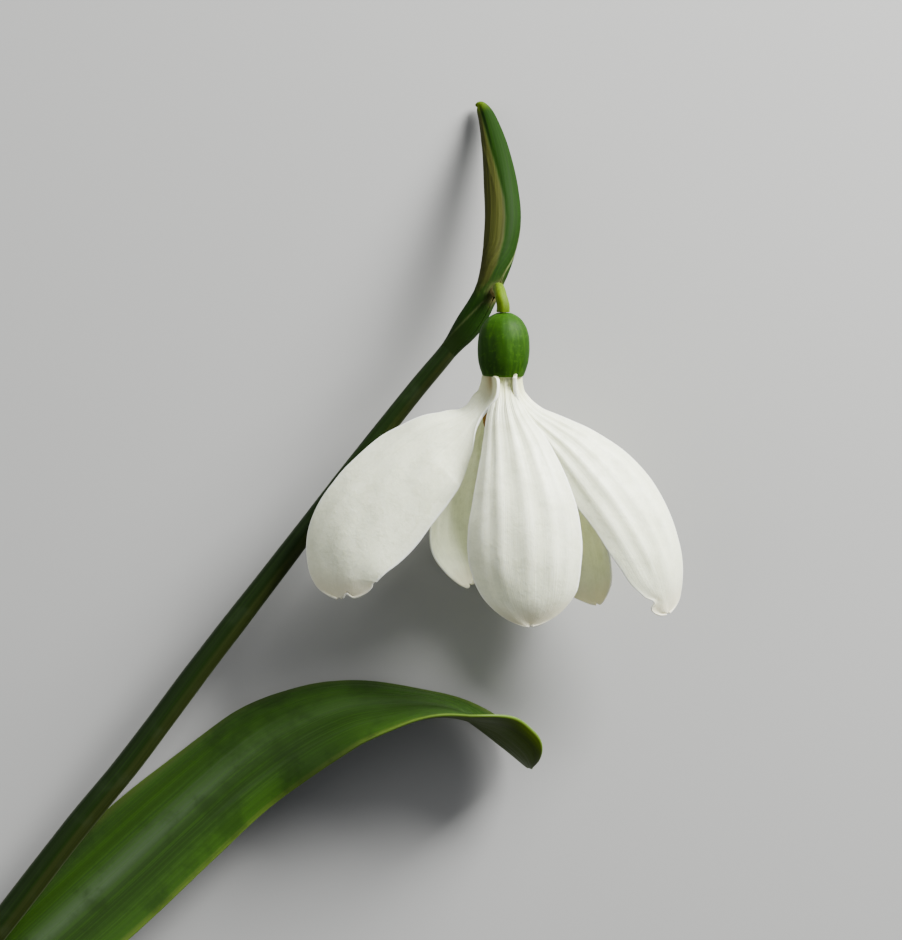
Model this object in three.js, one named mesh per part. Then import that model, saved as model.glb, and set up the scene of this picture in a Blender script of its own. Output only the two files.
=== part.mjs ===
import * as THREE from "three";

// A snowdrop with six equal petals, picked together with one leaf and laid down on its back.
// Lengths are millimetres, angles are degrees and +Z is up. Positions are measured from the point on
// the surface straight under the middle of the ovary's lower rim. At the end the whole part is moved
// so that the middle of its own box stands over the origin.

// Driving dimensions
const RIM_HEIGHT = 14.5; // ovary's lower rim above the surface
const MOUTH_SWING = 5; // the flower's mouth leans this far towards +X
const MOUTH_DIP = 7; // and this far down towards the surface
const PETAL_THICKNESS = 0.6;
const LEAF_THICKNESS = 0.7;
const SPATHE_WALL = 0.6;
const SHEATH_WALL = 0.6;
const STEM_RADIUS = 1.45; // at the cut end
const NECK_RADIUS = 1.02; // where the spathe begins
const POST_RADIUS = 0.45; // the stem's thin end inside the spathe
const PEDICEL_RADIUS = 0.5;
const STAMEN_COUNT = 6;

const WHITE = 0xf2f3ee;
const LEAF_GREEN = 0x4f7a2c;
const STEM_GREEN = 0x3f5a22;
const PALE_GREEN = 0x9fb070;
const ANTHER_ORANGE = 0xc98a2c;

const radians = THREE.MathUtils.degToRad;
const vector = ([x, y, z]) => new THREE.Vector3(x, y, z);

// ---------------------------------------------------------------- shared mathematics

// A smooth curve through [place, value] pairs that never swings past a value.
function profile(pairs, place) {
  const last = pairs.length - 1;
  const rise = (k) => (pairs[k + 1][1] - pairs[k][1]) / (pairs[k + 1][0] - pairs[k][0]);
  const slope = (k) => {
    if (k === 0) return rise(0);
    if (k === last) return rise(last - 1);
    const product = rise(k - 1) * rise(k);
    return product <= 0 ? 0 : (2 * product) / (rise(k - 1) + rise(k));
  };
  let k = 0;
  while (k < last - 1 && place >= pairs[k + 1][0]) k += 1;
  const span = pairs[k + 1][0] - pairs[k][0];
  const t = THREE.MathUtils.clamp((place - pairs[k][0]) / span, 0, 1);
  const a = (2 * t ** 3 - 3 * t ** 2 + 1) * pairs[k][1];
  const b = (t ** 3 - 2 * t ** 2 + t) * span * slope(k);
  const c = (-2 * t ** 3 + 3 * t ** 2) * pairs[k + 1][1];
  const d = (t ** 3 - t ** 2) * span * slope(k + 1);
  return a + b + c + d;
}

const curveThrough = (points) => new THREE.CatmullRomCurve3(points, false, "catmullrom", 0.5);

// Places of the rows along a blade from 0 to 1, closer together past `ease`, where the end rounds off.
function rowPlaces(rows, ease) {
  const plain = Math.round(rows * 0.6);
  const places = [];
  for (let i = 0; i < plain; i += 1) places.push((ease * i) / plain);
  for (let i = 0; i <= rows - plain; i += 1) {
    places.push(ease + (1 - ease) * Math.sin(((i / (rows - plain)) * Math.PI) / 2));
  }
  return places;
}

const END_CUT = 0.985; // the last row stops just short of a point, so the tip stays blunt

// Share of the full width that is left near a blade's round end.
function endShare(place, [start, power]) {
  if (place <= start) return 1;
  const reach = ((place - start) / (1 - start)) * END_CUT;
  return (1 - reach ** 2) ** power;
}

// The grid of points of a curved blade. At each row the section is an arc about the spine: `facing`
// gives the way its convex side looks, `width` the length of the arc and `cup` its half angle. `left`
// makes the half on its left wider or narrower, `end` says where the blade starts to round off and
// how bluntly, and a `notch` draws its tip back.
function bladeGrid(blade, rows, columns) {
  const spine = curveThrough(blade.spine);
  return rowPlaces(rows, blade.end[0]).map((place) => {
    const centre = spine.getPointAt(place);
    const along = spine.getTangentAt(place);
    const across = blade.facing(place).cross(along).normalize();
    const outward = along.clone().cross(across);
    const halfAngle = radians(profile(blade.cup, place)) || 1e-4;
    const radius = profile(blade.width, place) / 2 / halfAngle;
    const share = endShare(place, blade.end);
    const leftShare = blade.left ? share * profile(blade.left, place) : share;
    const row = [];
    for (let j = 0; j <= columns; j += 1) {
      const side = (2 * j) / columns - 1;
      const angle = halfAngle * side * (side > 0 ? leftShare : share);
      const point = centre.clone().addScaledVector(across, radius * Math.sin(angle));
      point.addScaledVector(outward, -radius * (1 - Math.cos(angle)));
      if (blade.notch) {
        const { at, spread, depth, from } = blade.notch;
        const fade = THREE.MathUtils.clamp((place - from) / (1 - from), 0, 1) ** 2;
        point.addScaledVector(along, -depth * fade * Math.exp(-(((side - at) / spread) ** 2)));
      }
      row.push(point);
    }
    return row;
  });
}

// The grid of points of a tube or of a sheath that wraps round a spine. `radius` is its outer radius,
// `flat` squeezes it from front to back, `seam` turns its slit round the spine, 0 facing up and 90 to
// the right, `slit` is half the angle that the slit leaves open, and `slant` is how much further its
// far end reaches on top than in the middle.
function wrapGrid(wrap, rows, columns) {
  const spine = curveThrough(wrap.spine.map(vector));
  const grid = [];
  for (let i = 0; i <= rows; i += 1) {
    const place = i / rows;
    const centre = spine.getPointAt(place);
    const along = spine.getTangentAt(place);
    const left = new THREE.Vector3(0, 0, 1).cross(along).normalize();
    const up = along.clone().cross(left);
    const radius = profile(wrap.radius, place);
    const flat = wrap.flat ? profile(wrap.flat, place) : 1;
    const seam = wrap.seam ? profile(wrap.seam, place) : 0;
    const halfAngle = 180 - (wrap.slit ? profile(wrap.slit, place) : 0);
    const slant = wrap.slant ?? 0;
    const row = [];
    for (let j = 0; j < columns + (wrap.slit ? 1 : 0); j += 1) {
      const side = (2 * j) / columns - 1;
      const angle = radians(seam + 180 - halfAngle * side);
      const point = centre.clone().addScaledVector(left, -radius * Math.sin(angle));
      point.addScaledVector(up, radius * flat * Math.cos(angle));
      row.push(point.addScaledVector(along, slant * place * Math.cos(angle)));
    }
    grid.push(row);
  }
  return grid;
}

// Turns a grid of points into a closed shell whose outer face is the grid and whose inner face lies
// `thickness` behind it. In a ring the last column joins the first one.
function shell(grid, thickness, ring = false) {
  const rows = grid.length;
  const columns = grid[0].length;
  const inner = grid.map((row, i) =>
    row.map((point, j) => {
      const before = ring ? row[(j + columns - 1) % columns] : row[Math.max(j - 1, 0)];
      const after = ring ? row[(j + 1) % columns] : row[Math.min(j + 1, columns - 1)];
      const along = grid[Math.min(i + 1, rows - 1)][j].clone().sub(grid[Math.max(i - 1, 0)][j]);
      const outward = along.cross(after.clone().sub(before)).normalize();
      return point.clone().addScaledVector(outward, -thickness);
    }),
  );
  const corners = [];
  const quad = (a, b, c, d) => corners.push(a, b, c, a, c, d);
  const spans = ring ? columns : columns - 1;
  for (let j = 0; j < spans; j += 1) {
    const k = (j + 1) % columns;
    for (let i = 0; i < rows - 1; i += 1) {
      quad(grid[i][j], grid[i + 1][j], grid[i + 1][k], grid[i][k]);
      corners.push(inner[i][j], inner[i + 1][k], inner[i + 1][j]);
      corners.push(inner[i][j], inner[i][k], inner[i + 1][k]);
    }
    quad(grid[0][j], grid[0][k], inner[0][k], inner[0][j]);
    quad(grid[rows - 1][k], grid[rows - 1][j], inner[rows - 1][j], inner[rows - 1][k]);
  }
  for (let i = 0; !ring && i < rows - 1; i += 1) {
    const end = columns - 1;
    quad(grid[i + 1][0], grid[i][0], inner[i][0], inner[i + 1][0]);
    quad(grid[i][end], grid[i + 1][end], inner[i + 1][end], inner[i][end]);
  }
  return new THREE.BufferGeometry().setFromPoints(corners);
}

// Places from 0 to `end` in equal steps.
const evenPlaces = (rows, end = 1) => Array.from({ length: rows + 1 }, (_, i) => (end * i) / rows);

// A solid rod along a spine, round in section, with flat ends and, if asked, shallow ribs.
function rod({ spine, radius, ribs = 0, ribDepth = 0 }, places, sides) {
  const curve = curveThrough(spine);
  const grid = places.map((place) => {
    const centre = curve.getPointAt(place);
    const along = curve.getTangentAt(place);
    const across = new THREE.Vector3(0, 0, 1).cross(along).normalize();
    const outward = along.clone().cross(across);
    const row = [];
    for (let j = 0; j < sides; j += 1) {
      const angle = (2 * Math.PI * j) / sides;
      const reach = profile(radius, place) * (1 + ribDepth * Math.cos(ribs * angle));
      const point = centre.clone().addScaledVector(outward, reach * Math.cos(angle));
      row.push(point.addScaledVector(across, reach * Math.sin(angle)));
    }
    return row;
  });
  const rows = grid.length - 1;
  const start = curve.getPointAt(0);
  const finish = curve.getPointAt(1);
  const corners = [];
  for (let j = 0; j < sides; j += 1) {
    const k = (j + 1) % sides;
    corners.push(start, grid[0][j], grid[0][k]);
    for (let i = 0; i < rows; i += 1) {
      corners.push(grid[i][j], grid[i + 1][j], grid[i + 1][k], grid[i][j], grid[i + 1][k], grid[i][k]);
    }
    corners.push(finish, grid[rows][k], grid[rows][j]);
  }
  return new THREE.BufferGeometry().setFromPoints(corners);
}

const part = new THREE.Group();

function add(name, geometry, color, roughness) {
  geometry.computeVertexNormals();
  const mesh = new THREE.Mesh(geometry, new THREE.MeshStandardMaterial({ color, roughness, metalness: 0 }));
  mesh.name = name;
  part.add(mesh);
}

// ---------------------------------------------------------------- flower frame

// Inside the flower a place is [right, front, down]: right of the axis, in front of it, and down it
// from the ovary's rim to the mouth.
const down = new THREE.Vector3(
  Math.sin(radians(MOUTH_SWING)) * Math.cos(radians(MOUTH_DIP)),
  -Math.cos(radians(MOUTH_SWING)) * Math.cos(radians(MOUTH_DIP)),
  -Math.sin(radians(MOUTH_DIP)),
);
const front = new THREE.Vector3(0, 0, 1).addScaledVector(down, -down.z).normalize();
const right = front.clone().cross(down);
const rimCentre = new THREE.Vector3(0, 0, RIM_HEIGHT);

function inFlower([r, f, d]) {
  const point = rimCentre.clone().addScaledVector(right, r);
  return point.addScaledVector(front, f).addScaledVector(down, d);
}

// The direction out of the flower's axis at a bearing, 0 to the front and 90 to the right.
function bearing(angle) {
  const outward = front.clone().multiplyScalar(Math.cos(radians(angle)));
  return outward.addScaledVector(right, Math.sin(radians(angle)));
}

// ---------------------------------------------------------------- petals

const PETALS = {
  inner_petal_front: {
    spine: [
      [0.0, 1.9, 0.2], [0.0, 2.0, 1.1], [0.0, 3.6, 3.3], [0.6, 6.6, 7.6],
      [0.8, 8.8, 13.1], [0.6, 9.4, 18.4], [0.5, 8.6, 23.4], [0.7, 6.9, 26.9],
    ],
    face: [[0, 0], [1, 0]],
    width: [
      [0, 1.9], [0.08, 2.4], [0.18, 5.0], [0.3, 8.6],
      [0.45, 11.8], [0.6, 13.6], [0.75, 14.0], [1, 13.2],
    ],
    cup: [[0, 28], [0.12, 34], [0.35, 42], [1, 46]],
    end: [0.64, 0.62],
  },
  outer_petal_left: {
    spine: [
      [-1.95, 1.0, 0.2], [-2.3, 1.05, 1.3], [-4.1, 1.6, 3.2], [-9.1, 2.6, 6.9],
      [-14.1, 3.2, 11.5], [-18.0, 3.2, 16.0], [-19.9, 2.6, 19.4], [-19.8, 1.2, 22.9],
    ],
    face: [[0, -60], [0.1, -60], [0.3, -38], [0.55, -30], [1, -30]],
    width: [
      [0, 2.0], [0.1, 2.6], [0.2, 5.4], [0.34, 9.9],
      [0.5, 12.7], [0.65, 13.8], [0.8, 13.2], [1, 11],
    ],
    cup: [[0, 28], [0.15, 30], [0.35, 26], [1, 28]],
    end: [0.6, 0.52],
    notch: { at: 0.05, spread: 0.3, depth: 0.6, from: 0.85 },
  },
  outer_petal_right: {
    spine: [
      [1.8, 0.95, 0.35], [2.05, 1.0, 1.5], [3.8, 1.6, 3.9], [7.4, 2.8, 7.9],
      [11.2, 3.6, 12.8], [14.2, 3.8, 18.0], [15.7, 3.0, 23.0], [15.9, 1.2, 27.4],
    ],
    face: [[0, 56], [0.1, 50], [0.2, 42], [0.35, 34], [0.6, 30], [1, 32]],
    width: [
      [0, 2.0], [0.06, 2.4], [0.12, 3.4], [0.2, 5.8], [0.34, 9.4],
      [0.5, 11.5], [0.65, 12.0], [0.8, 11.0], [1, 8.8],
    ],
    cup: [[0, 28], [0.15, 34], [0.35, 44], [1, 50]],
    end: [0.6, 0.58],
  },
  outer_petal_back: {
    spine: [
      [0.0, -1.9, 0.3], [0.1, -2.3, 1.4], [0.3, -4.8, 3.4], [0.6, -9.0, 7.6],
      [0.8, -11.9, 12.8], [0.8, -12.3, 17.7], [0.7, -11.8, 22.2], [0.6, -11.0, 25.5],
    ],
    face: [[0, 180], [1, 180]],
    width: [
      [0, 1.9], [0.1, 2.6], [0.2, 5.0], [0.34, 8.8],
      [0.5, 12], [0.65, 13.4], [0.8, 13.2], [1, 11],
    ],
    cup: [[0, 28], [0.15, 34], [0.4, 30], [1, 32]],
    end: [0.62, 0.58],
  },
  inner_petal_back_left: {
    spine: [
      [-1.7, -0.95, 0.2], [-2.0, -1.3, 1.2], [-3.2, -2.6, 3.7], [-5.3, -4.2, 8.2],
      [-7.2, -5.3, 13.3], [-8.0, -5.7, 17.8], [-7.2, -5.3, 21.1], [-5.9, -4.4, 23.8],
    ],
    face: [[0, -120], [1, -128]],
    width: [
      [0, 1.9], [0.1, 2.6], [0.2, 5.0], [0.34, 8.8],
      [0.5, 12], [0.65, 13.3], [0.8, 13.0], [1, 11.5],
    ],
    cup: [[0, 28], [0.15, 34], [0.4, 38], [1, 40]],
    end: [0.62, 0.48],
  },
  inner_petal_back_right: {
    spine: [
      [1.7, -0.95, 0.35], [2.0, -1.3, 1.6], [2.9, -2.6, 4.2], [4.7, -4.2, 9.0],
      [6.8, -5.6, 14.5], [8.4, -6.2, 19.8], [8.9, -5.8, 23.8], [8.7, -4.9, 26.9],
    ],
    face: [[0, 120], [1, 124]],
    width: [
      [0, 1.9], [0.1, 2.6], [0.2, 5.0], [0.34, 8.6],
      [0.5, 11.6], [0.65, 12.8], [0.8, 12.6], [1, 11.5],
    ],
    cup: [[0, 28], [0.15, 34], [0.4, 38], [1, 40]],
    end: [0.62, 0.46],
  },
};

for (const [name, petal] of Object.entries(PETALS)) {
  const blade = {
    ...petal,
    spine: petal.spine.map(inFlower),
    facing: (place) => bearing(profile(petal.face, place)),
  };
  add(name, shell(bladeGrid(blade, 20, 12), PETAL_THICKNESS), WHITE, 0.55);
}

// ---------------------------------------------------------------- stamens and style

// A thin filament that widens into a pointed anther; the six anthers stand in a cone round the style.
const STAMEN_SPINE = [[0.7, 0.25], [0.8, 0.9], [1.3, 1.9], [2.15, 3.4], [2.35, 5.7]]; // [off axis, down]
const STAMEN_RADIUS = [[0, 0.2], [0.3, 0.2], [0.4, 0.36], [0.62, 0.42], [0.85, 0.34], [1, 0.06]];

for (let k = 0; k < STAMEN_COUNT; k += 1) {
  const outward = bearing(30 + (360 * k) / STAMEN_COUNT);
  const spine = STAMEN_SPINE.map(([off, d]) => inFlower([0, 0, d]).addScaledVector(outward, off));
  add(`stamen_${k + 1}`, rod({ spine, radius: STAMEN_RADIUS }, evenPlaces(12), 10), ANTHER_ORANGE, 0.6);
}

const styleSpine = [inFlower([0, 0, 0.25]), inFlower([0, 0, 4]), inFlower([0, 0, 7.6])];
const STYLE_RADIUS = [[0, 0.32], [0.8, 0.26], [1, 0.1]];
add("style", rod({ spine: styleSpine, radius: STYLE_RADIUS }, evenPlaces(8), 10), PALE_GREEN, 0.5);

// ---------------------------------------------------------------- ovary and pedicel

const OVARY_TOP = [0.12, 6.9, 15.35];
const OVARY_RADIUS = [
  [0, 2.3], [0.12, 2.6], [0.25, 2.82], [0.42, 2.9], [0.58, 2.85],
  [0.74, 2.6], [0.87, 2.1], [0.95, 1.5], [1, 0.8],
];
const ovarySpine = [rimCentre, vector(OVARY_TOP).lerp(rimCentre, 0.5), vector(OVARY_TOP)];
const ovary = { spine: ovarySpine, radius: OVARY_RADIUS, ribs: 6, ribDepth: 0.02 };
add("ovary", rod(ovary, evenPlaces(16), 24), LEAF_GREEN, 0.5);

const PEDICEL_SPINE = [
  [-3.4, 6.5, 9.0], [-2.3, 8.0, 9.1], [-1.4, 9.2, 9.5], [-0.7, 9.7, 10.7], [-0.5, 9.8, 12.4],
  [-0.4, 9.5, 14.2], [-0.2, 8.6, 15.4], [0.0, 7.7, 15.6], [0.0, 7.0, 15.5],
];
const PEDICEL_WIDTHS = [[0, PEDICEL_RADIUS - 0.05], [0.45, PEDICEL_RADIUS], [0.8, 0.55], [1, 0.65]];
const pedicel = { spine: PEDICEL_SPINE.map(vector), radius: PEDICEL_WIDTHS };
add("pedicel", rod(pedicel, evenPlaces(24), 12), PALE_GREEN, 0.5);

// ---------------------------------------------------------------- spathe and stem

const SPATHE = {
  spine: [
    [-6.1, 2.9, 9.0], [-3.5, 6.3, 9.0], [-1.7, 9.6, 9.1], [-0.5, 13.4, 8.6], [0.1, 17.5, 7.5],
    [-0.05, 21.5, 5.9], [-0.6, 25.8, 3.9], [-1.5, 29.6, 1.9], [-2.3, 32.1, 0.85],
  ],
  radius: [
    [0, 1.15], [0.05, 1.45], [0.12, 1.6], [0.24, 1.45], [0.38, 1.85], [0.5, 2.1],
    [0.62, 2.0], [0.78, 1.6], [0.9, 1.3], [1, 0.85],
  ],
  flat: [[0, 1], [0.3, 0.95], [0.5, 0.75], [0.8, 0.8], [1, 1]],
  seam: [[0, 45], [0.3, 45], [0.42, 85], [1, 95]],
  slit: [[0, 6], [0.17, 8], [0.21, 38], [0.3, 38], [0.34, 14], [0.65, 14], [0.85, 30], [1, 60]],
};
add("spathe", shell(wrapGrid(SPATHE, 28, 16), SPATHE_WALL), LEAF_GREEN, 0.5);

const SHOULDER = 0.967; // where the stem steps down to the thin end that the spathe hides
const STEM_SPINE = [
  [-86.0, -98.4, 3.1], [-75.8, -85.3, 3.1], [-70.8, -79.0, 3.25], [-63.7, -70.1, 3.8],
  [-56.7, -61.7, 4.5], [-48.1, -50.7, 5.5], [-41.7, -42.9, 6.2], [-33.5, -32.0, 7.2],
  [-25.0, -21.0, 8.0], [-17.5, -11.2, 8.6], [-12.5, -4.9, 8.9], [-9.3, -0.9, 9.0],
  [-6.2, 2.8, 9.0], [-3.6, 6.2, 9.0],
];
const STEM_WIDTHS = [
  [0, STEM_RADIUS], [0.35, STEM_RADIUS], [0.65, 1.33], [0.82, 1.1], [SHOULDER, NECK_RADIUS],
  [SHOULDER + 0.002, POST_RADIUS], [1, POST_RADIUS],
];
const stemPlaces = [...evenPlaces(44, SHOULDER), SHOULDER + 0.002, 1];
add("stem", rod({ spine: STEM_SPINE.map(vector), radius: STEM_WIDTHS }, stemPlaces, 12), STEM_GREEN, 0.5);

// ---------------------------------------------------------------- leaf and base sheath

const LEAF = {
  spine: [
    [-85.2, -99.0, 1.85], [-75.0, -85.9, 1.85], [-70.0, -79.8, 1.95], [-65.9, -75.6, 2.4],
    [-59.4, -69.9, 2.95], [-51.3, -62.8, 3.4], [-43.4, -55.6, 3.95], [-36.8, -49.4, 4.8],
    [-30.2, -43.5, 5.5], [-24.3, -39.4, 5.8], [-17.9, -36.7, 6.6], [-11.9, -36.2, 6.8],
    [-7.5, -36.4, 6.6], [-4.1, -37.5, 6.2], [0.8, -41.2, 5.4], [2.1, -42.3, 4.7],
    [4.2, -43.9, 4.4],
  ].map(vector),
  tilt: [
    [0, 40], [0.2, 40], [0.3, 24], [0.4, 22], [0.55, 23],
    [0.68, 23], [0.75, 41], [0.82, 64], [0.88, 82], [0.94, 88], [1, 83],
  ],
  width: [
    [0, 4.2], [0.19, 4.2], [0.28, 8.8], [0.37, 12], [0.5, 13.4],
    [0.7, 12.5], [0.82, 12.6], [0.9, 13.4], [1, 10.8],
  ],
  cup: [
    [0, -75], [0.2, -75], [0.28, -32], [0.35, -4], [0.45, 8], [0.55, 12],
    [0.68, 34], [0.78, 25], [0.85, 0], [0.9, -16], [0.95, -54], [1, -95],
  ],
  left: [[0, 1], [0.7, 1], [0.8, 0.92], [0.9, 0.75], [1, 1.35]],
  end: [0.91, 0.5],
};
LEAF.facing = (place) => {
  const tilt = radians(profile(LEAF.tilt, place));
  const along = curveThrough(LEAF.spine).getTangentAt(place);
  const uphill = new THREE.Vector3(0, 0, 1).cross(along).normalize();
  return new THREE.Vector3(0, 0, Math.cos(tilt)).addScaledVector(uphill, Math.sin(tilt));
};
add("leaf", shell(bladeGrid(LEAF, 36, 10), LEAF_THICKNESS), LEAF_GREEN, 0.5);

const SHEATH = {
  spine: [[-85.9, -98.5, 3.0], [-80.8, -91.9, 3.0], [-75.7, -85.4, 3.0], [-72.6, -81.4, 3.1]],
  radius: [[0, 3.0], [0.8, 3.0], [1, 3.05]],
  slant: 1.2,
};
add("base_sheath", shell(wrapGrid(SHEATH, 8, 20), SHEATH_WALL, true), PALE_GREEN, 0.7);

// ---------------------------------------------------------------- place over the origin

part.updateMatrixWorld(true);
const box = new THREE.Box3().setFromObject(part, true);
part.position.set(-(box.min.x + box.max.x) / 2, -(box.min.y + box.max.y) / 2, -box.min.z);

export default part;
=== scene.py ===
import math

import bpy
import numpy as np
from bpy.props import FloatProperty, FloatVectorProperty, PointerProperty
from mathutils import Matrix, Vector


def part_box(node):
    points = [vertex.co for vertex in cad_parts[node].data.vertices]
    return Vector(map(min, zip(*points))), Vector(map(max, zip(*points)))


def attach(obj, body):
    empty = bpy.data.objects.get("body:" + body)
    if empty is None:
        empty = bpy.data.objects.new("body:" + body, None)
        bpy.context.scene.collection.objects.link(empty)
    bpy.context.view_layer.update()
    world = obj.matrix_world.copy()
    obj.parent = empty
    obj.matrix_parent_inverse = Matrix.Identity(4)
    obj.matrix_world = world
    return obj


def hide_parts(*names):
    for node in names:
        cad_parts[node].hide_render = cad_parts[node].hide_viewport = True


# A snowdrop with six equal petals, laid down beside one leaf. Each solid of the frame is replaced by a
# finished piece that is grown over the same spine. Tables are in millimetres and degrees, measured
# from the point on the surface under the middle of the ovary's lower rim.

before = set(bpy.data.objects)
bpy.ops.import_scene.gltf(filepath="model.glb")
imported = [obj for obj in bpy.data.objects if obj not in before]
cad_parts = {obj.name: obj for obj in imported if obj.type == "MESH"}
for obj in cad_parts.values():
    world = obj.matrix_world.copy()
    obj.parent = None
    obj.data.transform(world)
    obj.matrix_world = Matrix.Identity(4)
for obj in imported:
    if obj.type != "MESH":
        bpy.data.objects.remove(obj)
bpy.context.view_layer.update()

bl_info = {
    "name": "Snowdrop flower",
    "version": (1, 0, 0),
    "blender": (4, 5, 0),
    "location": "3D View > Sidebar > Snowdrop",
    "description": "Grows the finished petals, stalks and leaf of a snowdrop over its plain solids",
    "category": "Add Mesh",
}

MM = 0.001
OVARY_CENTRE = np.array([0.052, 3.3565, 14.8668])  # middle of the ovary's own box
ovary_low, ovary_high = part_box("ovary")
ORIGIN = (np.array(ovary_low) + np.array(ovary_high)) / 2 / MM - OVARY_CENTRE

RIM_HEIGHT = 14.5  # height of the ovary's rim, where the petals hang
MOUTH_SWING = math.radians(5)
MOUTH_DIP = math.radians(7)
TIP_CUT = 0.9992  # the last row stops just short of the tip
EVEN = [[0, 1], [1, 1]]
NOTHING = [[0, 0], [1, 0]]

TRACK_POINTS = 2001  # how finely a spine is measured
EVEN_ROWS = 0.6  # share of a blade's rows that are evenly spaced
FLATTEST = 1e-4  # the least half angle of a blade's arc, in radians
EDGE_BLEND = 4  # an edge table acts in full past a quarter of the half width
NICK_START = 0.86  # where along a blade a nick in its tip begins
CORNER_DROP = 0.3  # how far the corners of a petal's foot hang down
CORNER_END = 0.03
CAP_STEPS = (0, 0.35, 0.7, 0.9, 0.975)  # sizes of the rows that close a rod's end
JOIN_GAP = 0.0005  # points nearer than this become one
THIN_WALL = 0.45  # thickness of the spathe and the sheath
TANGENT_STEP = 0.002  # share of a spine over which its direction is read

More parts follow.
